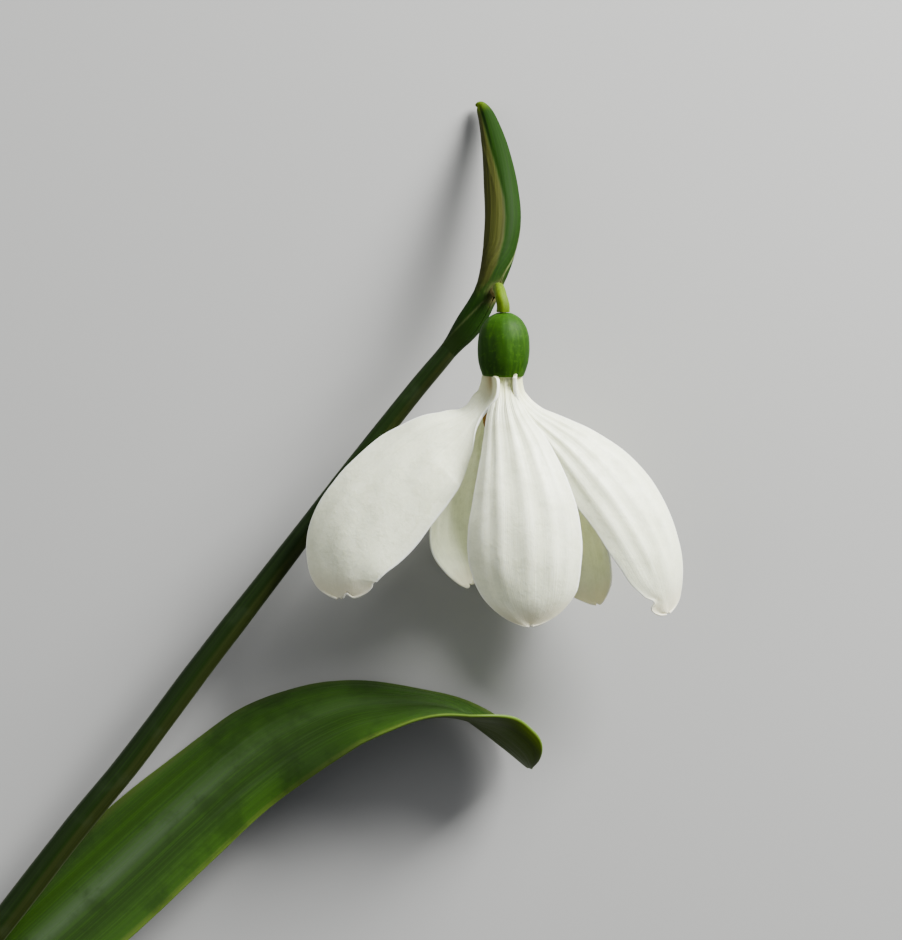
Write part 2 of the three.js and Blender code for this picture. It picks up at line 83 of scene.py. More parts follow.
PETALS = {
    "inner_petal_front": {
        "spine": [
            [0.1, 1.95, -0.4], [0.1, 2.0, 1.0], [0.1, 3.5, 3.3], [0.6, 6.6, 7.6],
            [0.8, 8.8, 13.1], [0.6, 9.4, 18.4], [0.5, 8.6, 23.4], [0.5, 7.0, 26.6],
        ],
        "face": [[0, 0], [1, 0]],
        "width": [
            [0, 1.9], [0.08, 2.4], [0.18, 5.0], [0.3, 8.6],
            [0.45, 11.8], [0.6, 13.6], [0.75, 14.0], [1, 13.2],
        ],
        "cup": [[0, 20], [0.1, 26], [0.2, 36], [0.35, 42], [1, 46]],
        "ridges": [[-0.74, 0.8], [-0.43, 1], [0.03, 0.9], [0.43, 1], [0.7, 0.8]],
        "end": [0.64, 0.62],
        "edges": (
            [
                [0, 1.15], [0.06, 1.25], [0.1, 1.45], [0.2, 1.23], [0.3, 1.01],
                [0.4, 0.96], [0.64, 0.985], [0.8, 1.05], [0.9, 1.12], [1, 1.15],
            ],
            [
                [0, 1.4], [0.06, 1.35], [0.12, 1.15], [0.18, 0.96], [0.3, 0.955], [0.6, 0.99],
                [0.76, 1.03], [0.84, 1.14], [0.9, 1.33], [0.95, 1.55], [1, 1.8],
            ],
        ),
    },
    "outer_petal_left": {
        "spine": [
            [-1.6, 1.4, -0.4], [-1.62, 1.4, 1.0], [-2.0, 1.5, 2.1], [-4.1, 1.8, 4.2], [-9.1, 2.6, 6.9],
            [-14.1, 3.2, 11.5], [-18.2, 3.3, 16.0], [-19.86, 3.0, 19.4], [-20.0, 2.6, 22.42],
        ],
        "face": [[0, -60], [0.1, -60], [0.3, -38], [0.55, -30], [1, -30]],
        "width": [
            [0, 2.0], [0.1, 2.6], [0.2, 5.4], [0.34, 9.9],
            [0.5, 12.7], [0.65, 13.8], [0.8, 13.2], [1, 11],
        ],
        "cup": [[0, 28], [0.15, 30], [0.35, 26], [1, 28]],
        "ridges": [[-0.6, 0.35], [-0.2, 0.25], [0.25, 0.3]],
        "channel": 0.2,
        "end": [0.6, 0.52],
        "edges": (
            [
                [0, 1.3], [0.06, 1.4], [0.12, 1.15], [0.2, 1.0], [0.26, 0.8], [0.32, 0.8], [0.45, 0.9],
                [0.64, 0.9], [0.76, 1.0], [0.88, 1.17], [0.95, 1.3], [1, 1.7],
            ],
            [
                [0, 1.1], [0.04, 1.0], [0.1, 0.62], [0.14, 0.42], [0.18, 0.52], [0.23, 0.97],
                [0.3, 1.12], [0.45, 1.0], [0.6, 0.92], [0.8, 0.98], [0.88, 1.12],
                [0.94, 1.42], [0.97, 1.86], [1, 2.3],
            ],
        ),
        "nicks": [[1.0, 0.4, 0.8]],
        "lips": [
            [1, [[0, 1], [0.06, 1], [0.14, 0]], [0.1, 0.5, 0]],
            [-1, [[0, 0.75], [0.03, 1], [0.06, 1.5], [0.09, 1.7], [0.14, 1.1], [0.2, 0]], [-0.55, 0, -0.2]],
        ],
    },
    "outer_petal_right": {
        "spine": [
            [1.55, 1.4, -0.4], [1.5, 1.4, 1.2], [1.8, 1.5, 2.4], [3.2, 1.9, 4.3], [7.3, 2.8, 7.9],
            [11.2, 3.6, 12.8], [14.2, 3.8, 18.0], [15.7, 3.2, 23.0], [15.9, 1.9, 27.4],
        ],
        "face": [[0, 56], [0.1, 50], [0.2, 42], [0.35, 34], [0.6, 30], [1, 32]],
        "width": [
            [0, 2.0], [0.06, 2.4], [0.12, 3.4], [0.2, 5.8], [0.34, 9.4],
            [0.5, 11.5], [0.65, 12.0], [0.8, 11.0], [1, 8.8],
        ],
        "cup": [[0, 28], [0.15, 34], [0.35, 44], [1, 50]],
        "ridges": [[-0.62, 0.7], [-0.25, 0.8], [0.15, 0.6], [0.55, 0.7]],
        "channel": 0.06,
        "end": [0.6, 0.58],
        "edges": (
            [
                [0, 0.75], [0.1, 0.72], [0.2, 0.75], [0.45, 0.85], [0.6, 0.82], [0.76, 0.91],
                [0.88, 1.03], [0.92, 1.0], [0.938, 0.78], [0.95, 0.8], [0.965, 1.25], [0.98, 1.6], [1, 2.0],
            ],
            [
                [0, 1], [0.1, 0.9], [0.18, 0.62], [0.26, 0.61], [0.35, 0.74], [0.45, 0.87],
                [0.55, 0.9], [0.68, 0.83], [0.76, 0.86], [0.84, 0.96], [0.9, 1.04], [0.95, 1.25],
                [0.98, 1.6], [1, 1.7],
            ],
        ),
        "nicks": [[-0.9, 0.4, -0.1]],
        "lips": [
            [-1, [[0, 1], [0.08, 1], [0.17, 0]], [0.4, 0.45, 0]],
            [1, [[0, 1], [0.1, 1], [0.17, 0]], [0.2, 0, 0]],
        ],
    },
    "outer_petal_back": {
        "spine": [
            [0.0, -1.8, -0.4], [0.1, -2.2, 1.2], [0.3, -4.8, 3.4], [0.6, -9.0, 7.6],
            [0.8, -11.9, 12.8], [0.8, -12.3, 17.7], [0.7, -11.8, 22.2], [0.6, -11.0, 25.5],
        ],
        "face": [[0, 180], [1, 180]],
        "width": [
            [0, 1.9], [0.1, 2.6], [0.2, 5.0], [0.34, 8.8],
            [0.5, 12], [0.65, 13.4], [0.8, 13.2], [1, 11],
        ],
        "cup": [[0, 28], [0.15, 34], [0.4, 30], [1, 32]],
        "ridges": [[-0.6, 0.6], [-0.2, 0.8], [0.25, 0.8], [0.6, 0.6]],
        "end": [0.62, 0.58],
        "nicks": [[0.4, 0.5, 0.3]],
    },
    "inner_petal_back_left": {
        "spine": [
            [-1.6, -0.9, -0.4], [-1.8, -1.2, 1.0], [-3.2, -2.6, 3.7], [-5.3, -4.2, 8.2],
            [-7.2, -5.3, 13.3], [-7.8, -5.7, 17.8], [-6.9, -5.3, 21.1], [-5.7, -4.5, 23.6],
        ],
        "face": [[0, -120], [1, -128]],
        "width": [
            [0, 1.9], [0.1, 2.6], [0.2, 5.0], [0.34, 8.8],
            [0.5, 12], [0.65, 13.3], [0.8, 13.0], [1, 11.5],
        ],
        "cup": [[0, 28], [0.15, 34], [0.4, 38], [1, 40]],
        "ridges": [[-0.5, 0.6], [0.0, 0.7], [0.35, 0.8], [0.7, 0.7]],
        "end": [0.62, 0.48],
        "edges": (EVEN, [[0, 1], [0.7, 1], [0.84, 0.88], [1, 0.8]]),
        "nicks": [[-0.4, 0.4, 0.25]],
    },
    "inner_petal_back_right": {
        "spine": [
            [1.6, -0.9, -0.4], [1.8, -1.2, 1.4], [2.9, -2.6, 4.2], [4.7, -4.2, 9.0],
            [6.8, -5.6, 14.5], [8.4, -6.2, 19.8], [8.9, -5.8, 23.8], [8.7, -4.9, 26.9],
        ],
        "face": [[0, 120], [1, 124]],
        "width": [
            [0, 1.9], [0.1, 2.6], [0.2, 5.0], [0.34, 8.6],
            [0.5, 11.6], [0.65, 12.8], [0.8, 12.6], [1, 11.5],
        ],
        "cup": [[0, 28], [0.15, 34], [0.4, 38], [1, 40]],
        "ridges": [[-0.6, 0.7], [-0.2, 0.7], [0.2, 0.6], [0.6, 0.6]],
        "end": [0.62, 0.46],
        "edges": (
            [[0, 1], [0.85, 1.05], [0.94, 1.15], [1, 0.85]],
            [[0, 1], [0.7, 1], [0.8, 1.15], [0.9, 1.44], [0.95, 1.45], [1, 1.1]],
        ),
    },
}

# Surface of a petal: its ridges, the fine lines of its claw and its slow swell.
PETAL_ROWS, PETAL_COLUMNS = 110, 65
RIDGE_SPREAD = 0.115
RIDGE_SHARE = [[0, 0.3], [0.15, 0.7], [0.35, 1], [0.72, 0.8], [0.92, 0], [1, 0]]
CLAW_LINES = 21
CLAW_LINE_SHARE = [[0, 0.35], [0.1, 0.4], [0.22, 0.08], [1, 0]]
SWELL = 0.05
# Where the painted brown shade in the claw's channel lies across the petal, and how far it spreads.
CHANNEL_SHADE_SIDE, CHANNEL_SHADE_SPREAD = -0.1, 0.35

# Rows along a piece and columns across it.
STAMEN_GRID, OVARY_GRID, PEDICEL_GRID = (41, 25), (57, 73), (81, 25)
SPATHE_GRID, SHEATH_GRID = (141, 65), (61, 81)

STAMENS = 6
FIRST_STAMEN = 30  # bearing of the first stamen
STAMEN_SPINE = [[0.7, 0.25], [0.8, 0.9], [1.3, 1.9], [2.15, 3.4], [2.35, 5.7]]  # [off axis, down]
STAMEN_RADIUS = [[0, 0.2], [0.3, 0.2], [0.4, 0.36], [0.62, 0.42], [0.85, 0.34], [1, 0.06]]
STYLE_DEPTHS = (0.25, 4, 7.6)
STYLE_RADIUS = [[0, 0.32], [0.8, 0.26], [1, 0.1]]

OVARY_RIM = [0, 0.12, RIM_HEIGHT]
OVARY_TOP = [0.12, 6.9, 15.35]
OVARY_RADIUS = [
    [0, 2.3], [0.12, 2.6], [0.25, 2.82], [0.42, 2.9], [0.58, 2.85],
    [0.74, 2.6], [0.87, 2.1], [0.95, 1.5], [1, 0.8],
]

PEDICEL_SPINE = [
    [-3.4, 6.5, 9.0], [-2.3, 8.0, 9.1], [-1.4, 9.2, 9.5], [-0.7, 9.7, 10.7], [-0.5, 9.8, 12.4],
    [-0.4, 9.5, 14.2], [-0.2, 8.6, 15.4], [0.0, 7.7, 15.6], [0.0, 7.0, 15.5],
]
PEDICEL_RADIUS = [[0, 0.45], [0.4, 0.52], [0.55, 0.62], [0.8, 0.65], [1, 0.74]]

SPATHE = {
    "spine": [
        [-6.1, 2.9, 9.0], [-3.5, 6.3, 9.0], [-1.7, 9.6, 9.1], [-0.5, 13.4, 8.6], [0.1, 17.5, 7.5],
        [-0.05, 21.5, 5.9], [-0.6, 25.8, 3.9], [-1.4, 29.4, 2.0], [-2.0, 31.0, 1.3], [-2.5, 31.6, 1.05],
        [-2.95, 31.45, 0.95],
    ],
    "radius": [
        [0, 1.04], [0.04, 1.18], [0.08, 1.42], [0.13, 1.58], [0.24, 1.45], [0.38, 1.85], [0.5, 2.1],
        [0.62, 2.0], [0.78, 1.6], [0.9, 1.15], [0.95, 0.9], [0.98, 0.6], [1, 0.12],
    ],
    "flat": [[0, 1], [0.3, 0.95], [0.5, 0.75], [0.8, 0.8], [1, 1]],
    "seam": [[0, 45], [0.3, 45], [0.42, 85], [1, 95]],
    "slit": [[0, 1], [0.215, 1.5], [0.232, 8], [0.248, 13], [0.265, 8], [0.285, 1.5], [1, 2]],
}
# A low ridge on the lower part of the spathe, painted pale as its highlight, as [x, y] seen from above.
SPATHE_RIDGE = [[-8.35, 1.75], [-5.24, 5.3], [-2.25, 8.29], [-1.03, 8.96]]
# The fold between the spathe's pale skin and its green keel, as [x, y] seen from above.
SPATHE_FOLD = [
    [-2.6, 31.2], [-2.3, 30.2], [-1.4, 26.6], [-0.6, 23.6], [0.2, 20.3], [0.4, 18.0],
    [0.2, 15.4], [-0.6, 12.6], [-1.5, 10.8], [-2.5, 9.6],
]

STEM_SPINE = [
    [-86.0, -98.4, 3.1], [-75.8, -85.3, 3.1], [-70.8, -79.0, 3.25], [-63.7, -70.1, 3.8],
    [-56.7, -61.7, 4.5], [-48.1, -50.7, 5.5], [-41.7, -42.9, 6.2], [-33.5, -32.0, 7.2],
    [-25.0, -21.0, 8.0], [-17.5, -11.2, 8.6], [-12.5, -4.9, 8.9], [-9.3, -0.9, 9.0],
    [-6.2, 2.8, 9.0], [-3.6, 6.2, 9.0],
]
SHOULDER = 0.967  # past here the stem is narrower and goes into the spathe
STEM_RADIUS = [[0, 1.45], [0.35, 1.45], [0.65, 1.33], [0.82, 1.1], [SHOULDER, 1.02], [1, 0.95]]

LEAF = {
    "spine": [
        [-85.2, -99.0, 1.85], [-75.0, -85.9, 1.85], [-70.0, -79.8, 1.95], [-65.9, -75.6, 2.4],
        [-59.4, -69.9, 2.95], [-51.3, -62.8, 3.4], [-43.4, -55.6, 3.95], [-36.8, -49.4, 4.8],
        [-30.2, -43.5, 5.5], [-24.3, -39.4, 5.8], [-17.9, -36.7, 6.6], [-11.9, -36.2, 6.8],
        [-7.5, -36.4, 6.6], [-4.1, -37.5, 6.2], [0.4, -40.8, 5.45], [3.4, -43.25, 4.7],
    ],
    "tilt": [
        [0, 40], [0.2, 40], [0.3, 24], [0.4, 22], [0.55, 23],
        [0.685, 23], [0.755, 41], [0.826, 64], [0.887, 82], [0.947, 88], [1, 83],
    ],
    "width": [
        [0, 4.2], [0.19, 4.2], [0.28, 8.8], [0.37, 12], [0.5, 13.4],
        [0.705, 12.5], [0.826, 12.6], [0.907, 13.4], [1, 10.8],
    ],
    "cup": [
        [0, -75], [0.2, -75], [0.28, -32], [0.35, -4], [0.45, 8], [0.55, 12],
        [0.685, 34], [0.786, 25], [0.857, 0], [0.907, -14], [0.957, -54], [1, -70],
    ],
    "edges": (
        [[0, 1], [0.89, 1.05], [0.92, 1.22], [0.95, 1.35], [0.965, 1.47], [0.98, 1.72], [1, 2.1]],
        [[0, 1], [0.3, 1.03], [0.7, 1.03], [0.806, 0.93], [0.907, 0.74], [0.95, 0.8], [1, 1.0]],
    ),
    "end": [0.91, 0.5],
    "reach": 0.985,
}

LEAF_ROWS, LEAF_COLUMNS = 150, 49
LEAF_RIDGES = ((0.22, 0.07), (-0.25, 0.07), (0.6, 0.1))  # (side, spread)

SHEATH = {
    "spine": [[-85.9, -98.5, 3.0], [-80.8, -91.9, 3.0], [-75.7, -85.4, 3.0], [-72.6, -81.4, 3.1]],
    "radius": [[0, 3.0], [0.8, 3.0], [1, 3.05]],
    "slant": 1.2,
}

# The stage. FLOOR_SIZE, NEAREST and the lights' offsets and sizes are in metres, other lengths in
# millimetres.
FLOOR_SIZE = 4
LIT_POINT = [0, -8, 10]
KEY_OFFSET, KEY_SIZE = (0.26, 0.27, 0.18), 0.2
FILL_OFFSET, FILL_SIZE = (-0.3, 0.05, 0.25), 0.35
SKY, SKY_STRENGTH = (0.9, 0.93, 1.0, 1), 0.26
CAMERA_AIM = (-5.6857, -10.2233)
SENSOR_WIDTH, LENS, NEAREST = 36, 100, 0.01


# ---------------------------------------------------------------- sizes and colours


def colour_setting(name, description, default):
    return FloatVectorProperty(
        name=name, description=description, default=default, subtype="COLOR", min=0, max=1,
    )


class PetalSettings(bpy.types.PropertyGroup):
    """How the six petals look."""

    wall: FloatProperty(
        name="Thickness", description="Thickness in the middle of a petal",
        default=0.42 * MM, min=0.1 * MM, max=0.6 * MM, unit="LENGTH",
    )
    ridge: FloatProperty(
        name="Ridge height", description="Height of the lengthwise ridges",
        default=0.23 * MM, min=0, max=0.4 * MM, unit="LENGTH",
    )
    colour: colour_setting("Colour", "White of the petals", (0.87, 0.905, 0.68))
    # Also used for the painted shade in the grooves between the petal's ridges.
    vein_colour: colour_setting(
        "Vein colour", "Greenish grey of the veins and grooves", (0.53, 0.56, 0.38),
    )
    tip_colour: colour_setting("Tip colour", "Cream tint at the tips", (0.66, 0.62, 0.44))
    claw_colour: colour_setting(
        "Claw colour", "Yellow-green tint of the narrow claws", (0.62, 0.64, 0.36),
    )


class StamenSettings(bpy.types.PropertyGroup):
    """How the stamens and the style look."""

    anther_colour: colour_setting("Anther colour", "Orange of the anthers", (0.42, 0.2, 0.03))
    style_colour: colour_setting("Style colour", "Pale green of the style", (0.62, 0.68, 0.42))


class GreenSettings(bpy.types.PropertyGroup):
    """Greens of the ovary, pedicel, spathe and stem."""

    ovary_colour: colour_setting("Ovary", "Main green of the ovary", (0.012, 0.042, 0.001))
    pedicel_colour: colour_setting("Pedicel", "Yellow-green of the pedicel", (0.07, 0.12, 0.001))
    spathe_colour: colour_setting("Spathe keel", "Green of the spathe's keels", (0.006, 0.021, 0.001))
    skin_colour: colour_setting(
        "Spathe skin", "Pale skin between the spathe's keels", (0.034, 0.038, 0.007),
    )
    stem_colour: colour_setting("Stem", "Dark green of the stem", (0.005, 0.014, 0.001))
    stripe_colour: colour_setting(
        "Stem stripe", "Olive stripe along one side of the stem", (0.032, 0.038, 0.008),
    )


class LeafSettings(bpy.types.PropertyGroup):
    """How the leaf and the base sheath look."""

    wall: FloatProperty(
        name="Leaf thickness", description="Thickness in the middle of the leaf",
        default=0.68 * MM, min=0.2 * MM, max=0.7 * MM, unit="LENGTH",
    )
    colour: colour_setting("Leaf", "Main green of the leaf's upper face", (0.016, 0.044, 0.003))
    bloom_colour: colour_setting(
        "Waxy bloom", "Grey-green bloom along the midrib", (0.052, 0.086, 0.038),
    )
    margin_colour: colour_setting("Margin", "Yellow-green of the margins", (0.07, 0.12, 0.014))
    under_colour: colour_setting(
        "Underside", "Yellow-olive of the leaf's underside", (0.032, 0.054, 0.001),
    )
    sheath_colour: colour_setting("Sheath", "Papery white of the base sheath", (0.5, 0.48, 0.32))


class StageSettings(bpy.types.PropertyGroup):
    """Floor, light and camera."""

    floor_colour: colour_setting("Floor", "Colour of the plain floor", (0.3, 0.3, 0.29))
    key_power: FloatProperty(
        name="Key light", description="Power of the large soft light on the right",
        default=9.5, min=0, unit="POWER",
    )
    fill_power: FloatProperty(
        name="Fill light", description="Power of the weak light on the left",
        default=0.5, min=0, unit="POWER",
    )
    camera_height: FloatProperty(
        name="Camera height", description="Height of the camera above the surface",
        default=300 * MM, min=100 * MM, unit="LENGTH",
    )


# ---------------------------------------------------------------- curves and forms


def unit_rows(vectors):
    """The vectors with their length set to 1."""
    return vectors / np.linalg.norm(vectors, axis=-1, keepdims=True)


def smooth_table(table, places):
    """The smooth curve through [place, value] pairs, which never swings past a value."""
    xs, ys = np.array(table, float).T
    rises = np.diff(ys) / np.diff(xs)
    product = rises[:-1] * rises[1:]
    total = np.where(product > 0, rises[:-1] + rises[1:], 1)
    slopes = np.r_[rises[0], np.where(product > 0, 2 * product / total, 0), rises[-1]]
    places = np.clip(places, xs[0], xs[-1])
    k = np.clip(np.searchsorted(xs, places, "right") - 1, 0, len(xs) - 2)
    span = xs[k + 1] - xs[k]
    t = (places - xs[k]) / span
    start = (2 * t**3 - 3 * t**2 + 1) * ys[k] + (t**3 - 2 * t**2 + t) * span * slopes[k]
    finish = (3 * t**2 - 2 * t**3) * ys[k + 1] + (t**3 - t**2) * span * slopes[k + 1]
    return start + finish


def step_up(values, low, high):
    """0 below `low`, 1 above `high` and smooth in between."""
    t = np.clip((values - low) / (high - low), 0, 1)
    return t * t * (3 - 2 * t)


def bump_at(values, middle, spread):
    """1 at `middle`, falling smoothly to 0 on both sides."""
    return np.exp(-(((values - middle) / spread) ** 2))


class Spine:
    """A smooth curve through points, read by the share of its length."""

    def __init__(self, points):
        points = np.array(points, float)
        padded = np.vstack([2 * points[0] - points[1], points, 2 * points[-1] - points[-2]])
        t = np.linspace(0, len(points) - 1, TRACK_POINTS)
        k = np.minimum(t.astype(int), len(points) - 2)
        w = (t - k)[:, None]
        p0, p1, p2, p3 = padded[k], padded[k + 1], padded[k + 2], padded[k + 3]
        v1, v2 = (p2 - p0) / 2, (p3 - p1) / 2
        squared = (3 * (p2 - p1) - 2 * v1 - v2) * w**2
        self.track = p1 + v1 * w + squared + (2 * (p1 - p2) + v1 + v2) * w**3
        steps = np.linalg.norm(np.diff(self.track, axis=0), axis=1)
        self.reach = np.r_[0, np.cumsum(steps)]
        self.length = self.reach[-1]

    def at(self, places):
        reach = np.asarray(places) * self.length
        return np.stack([np.interp(reach, self.reach, axis) for axis in self.track.T], -1)

    def along(self, places):
        places = np.asarray(places)
        ahead = np.minimum(places + TANGENT_STEP, 1)
        behind = np.maximum(places - TANGENT_STEP, 0)
        return unit_rows(self.at(ahead) - self.at(behind))


def offset(directions, amounts):
    """Moves along each row's own direction by the amounts in that row."""
    return directions[:, None] * amounts[..., None]


def even_grid(rows, columns):
    """Evenly spaced places along a piece, 0 to 1, and sides across it, -1 to 1."""
    return np.linspace(0, 1, rows), np.linspace(-1, 1, columns)


def row_places(rows, ease):
    """Places from 0 to 1, closer together past `ease`, where the end rounds off."""
    even = round(rows * EVEN_ROWS)
    turns = np.arange(rows - even + 1) / (rows - even)
    return np.r_[ease * np.arange(even) / even, ease + (1 - ease) * np.sin(turns * math.pi / 2)]


def end_share(places, start, power, reach=TIP_CUT):
    """Share of the full width that is left near a blade's round end."""
    reach = np.clip((places - start) / (1 - start), 0, 1) * reach
    return (1 - reach**2) ** power


def blade_points(blade, places, sides, relief=None):
    """Points of a curved blade: each row is an arc about the spine, and `relief` lifts its surface.

    `edges` makes the half on either side of the spine wider or narrower, and each of the `nicks`
    pulls the tip back: [millimetres across, spread, depth].
    """
    spine = Spine(blade["spine"])
    centre, along = spine.at(places), spine.along(places)
    across = unit_rows(np.cross(blade["facing"](places, along), along))
    outward = np.cross(along, across)
    half = np.radians(smooth_table(blade["cup"], places))
    half = np.where(np.abs(half) < FLATTEST, FLATTEST, half)[:, None]
    radius = smooth_table(blade["width"], places)[:, None] / 2 / half
    place, side = np.meshgrid(places, sides, indexing="ij")
    share = end_share(places, *blade["end"], blade.get("reach", TIP_CUT))[:, None]
    for reach, edge in zip((-EDGE_BLEND, EDGE_BLEND), blade.get("edges", (EVEN, EVEN))):
        share = share * smooth_table(edge, place) ** np.clip(reach * side, 0, 1)
    angle = half * side * share
    points = centre[:, None] + offset(across, radius * np.sin(angle))
    points += offset(outward, -radius * (1 - np.cos(angle)))
    if relief is not None:
        normal = offset(across, np.sin(angle)) + offset(outward, np.cos(angle))
        points += normal * relief(place, side)[..., None]
    for across_at, spread, depth in blade.get("nicks", []):
        fade = np.clip((place - NICK_START) / (1 - NICK_START), 0, 1) ** 2
        points -= offset(along, depth * fade * bump_at(radius * np.sin(angle), across_at, spread))
    return points


def wrap_points(wrap, places, sides, relief=None):
    """Points of a sheath that wraps round a spine, with a slit where its two edges leave it open."""
    spine = Spine(wrap["spine"])
    centre, along = spine.at(places), spine.along(places)
    left = unit_rows(np.cross([0, 0, 1], along))
    up = np.cross(along, left)
    place, side = np.meshgrid(places, sides, indexing="ij")
    seam = smooth_table(wrap.get("seam", NOTHING), place)
    half = 180 - smooth_table(wrap.get("slit", NOTHING), place)
    angle = np.radians(seam + 180 - half * side)
    radius = smooth_table(wrap["radius"], place)
    if relief is not None:
        radius = radius + relief(place, side, angle)
    flat = smooth_table(wrap.get("flat", EVEN), place)
    points = centre[:, None] - offset(left, radius * np.sin(angle))
    points += offset(up, radius * flat * np.cos(angle))
    return points + offset(along, wrap.get("slant", 0) * place * np.cos(angle))


def rod_points(spine, radius, places, sides, relief=None):
    """Points of a rod, round in section, whose last column lies on its first."""
    spine = Spine(spine)
    centre, along = spine.at(places), spine.along(places)
    across = unit_rows(np.cross([0, 0, 1], along))
    outward = np.cross(along, across)
    place, turn = np.meshgrid(places, sides, indexing="ij")
    angle = math.pi * (turn + 1)
    reach = smooth_table(radius, place)
    if relief is not None:
        reach = reach * (1 + relief(place, angle))
    points = centre[:, None] + offset(outward, reach * np.cos(angle))
    return points + offset(across, reach * np.sin(angle))


def close_ends(points, places):
    """Adds rows that close a rod's ends, each a smaller copy of the end row.

    Returns the points, their places along the rod and how near each row is to the middle of a cap.
    """
    first, last = points[:1], points[-1:]
    first_middle = first[:, :-1].mean(1, keepdims=True)
    last_middle = last[:, :-1].mean(1, keepdims=True)
    caps = [first_middle + (first - first_middle) * size for size in CAP_STEPS]
    ends = [last_middle + (last - last_middle) * size for size in reversed(CAP_STEPS)]
    nearness = [1 - size for size in CAP_STEPS]
    nearness = np.r_[nearness, np.zeros(len(points)), nearness[::-1]]
    count = len(CAP_STEPS)
    spread = np.r_[np.full(count, places[0]), places, np.full(count, places[-1])]
    return np.concatenate(caps + [points] + ends), spread, nearness


def in_flower(local):
    """Turns [right, front, down] places inside the flower into places of the part."""
    down = np.array([
        math.sin(MOUTH_SWING) * math.cos(MOUTH_DIP),
        -math.cos(MOUTH_SWING) * math.cos(MOUTH_DIP),
        -math.sin(MOUTH_DIP),
    ])
    front = np.array([0, 0, 1.0]) - down * down[2]
    front /= np.linalg.norm(front)
    right = np.cross(front, down)
    local = np.atleast_2d(np.array(local, float))
    return np.array([0, 0, RIM_HEIGHT]) + local @ np.array([right, front, down]), right, front, down


def bearing(degrees):
    """The direction out of the flower's axis, 0 to the front and 90 to the right."""
    _, right, front, _ = in_flower([0, 0, 0])
    turn = np.radians(degrees)[..., None]
    return front * np.cos(turn) + right * np.sin(turn)


def petal_blade(petal, places, sides, relief=None):
    """Points of one petal. Its `lips` push a margin of the claw over the neighbouring petal."""
    blade = dict(petal)
    blade["spine"], right, front, down = in_flower(petal["spine"])
    blade["facing"] = lambda at, along: bearing(smooth_table(petal["face"], at))
    points = blade_points(blade, places, sides, relief)
    place, side = np.meshgrid(places, sides, indexing="ij")
    corner = (np.abs(side) ** 6 + 0.25 * np.abs(side)) * (1 - step_up(place, 0, CORNER_END))
    points += (CORNER_DROP * corner)[..., None] * down
    for margin, rows, shift in petal.get("lips", []):
        amount = smooth_table(rows, place) * step_up(margin * side, 0, 1)
        points += amount[..., None] * (np.array(shift) @ np.array([right, front, down]))
    return points


# ---------------------------------------------------------------- modelling


def start_alone():
    """Leaves edit mode and selects nothing, so that the next operator acts on its own piece."""
    if bpy.context.object is not None and bpy.context.object.mode != "OBJECT":
        bpy.ops.object.mode_set(mode="OBJECT")
    bpy.ops.object.select_all(action="DESELECT")


def grow_sheet(name, points, places, sides, marks=None, ring=False):
    """Adds a grid and moves its points onto the form. Its UV map runs across and along the piece."""
    start_alone()
    rows, columns = points.shape[0] - 1, points.shape[1] - 1
    bpy.ops.mesh.primitive_grid_add(x_subdivisions=columns, y_subdivisions=rows, size=1)
    piece = bpy.context.object
    piece.name = name
    mesh = piece.data
    mesh.name = name
    flat = np.empty(len(mesh.vertices) * 3)
    mesh.vertices.foreach_get("co", flat)
    flat = flat.reshape(-1, 3)
    column = columns - np.rint((flat[:, 0] + 0.5) * columns).astype(int)
    row = np.rint((flat[:, 1] + 0.5) * rows).astype(int)
    mesh.vertices.foreach_set("co", ((points[row, column] + ORIGIN) * MM).ravel())
    corner = np.empty(len(mesh.loops), int)
    mesh.loops.foreach_get("vertex_index", corner)
    spread = np.stack([(sides[column[corner]] + 1) / 2, places[row[corner]]], -1)
    mesh.uv_layers[0].data.foreach_set("uv", spread.ravel())
    for mark, values in (marks or {}).items():
        layer = mesh.attributes.new(mark, "FLOAT", "POINT")
        layer.data.foreach_set("value", values[row, column].astype(np.float32))
    if ring:
        bpy.ops.object.mode_set(mode="EDIT")
        bpy.ops.mesh.select_all(action="SELECT")
        bpy.ops.mesh.remove_doubles(threshold=JOIN_GAP * MM)
        bpy.ops.mesh.normals_make_consistent(inside=False)
        bpy.ops.object.mode_set(mode="OBJECT")
    mesh.update()
    return piece


def modify(piece, name, kind, **settings):
    """Adds a modifier with these settings and applies it."""
    modifier = piece.modifiers.new(name, kind)
    for setting, value in settings.items():
        setattr(modifier, setting, value)
    bpy.context.view_layer.objects.active = piece
    bpy.ops.object.modifier_apply(modifier=name)


def give_wall(piece, thickness):
    """Gives a sheet its thickness inwards, less where the mark `thin` is high, and marks its inner face."""
    mesh = piece.data
    count = len(mesh.vertices)
    thin = np.empty(count)
    mesh.attributes["thin"].data.foreach_get("value", thin)
    group = piece.vertex_groups.new(name="Wall")
    for index, value in enumerate(thin):
        group.add([index], 1 - float(value), "REPLACE")
    modify(piece, "Wall", "SOLIDIFY", thickness=thickness, offset=-1, vertex_group=group.name)
    under = np.zeros(len(mesh.vertices), np.float32)
    under[count:] = 1
    mesh.attributes.new("under", "FLOAT", "POINT").data.foreach_set("value", under)


def finish_piece(piece, finish, node):
    """Smooths a piece, gives it its material and lets it stand for its solid."""
    modify(piece, "Smooth", "SUBSURF", levels=1)
    piece.data.shade_smooth()
    piece.data.materials.clear()
    piece.data.materials.append(finish)
    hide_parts(node)
    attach(piece, "root")


def grow_rod(node, finish, spine, radius, grid, relief=None):
    """Grows a rod with closed ends over a spine, in place of the solid of the same name."""
    places, sides = even_grid(*grid)
    points, spread, _ = close_ends(rod_points(spine, radius, places, sides, relief), places)
    piece = grow_sheet("grown_" + node, points, spread, sides, ring=True)
    finish_piece(piece, finish, node)


# ---------------------------------------------------------------- materials


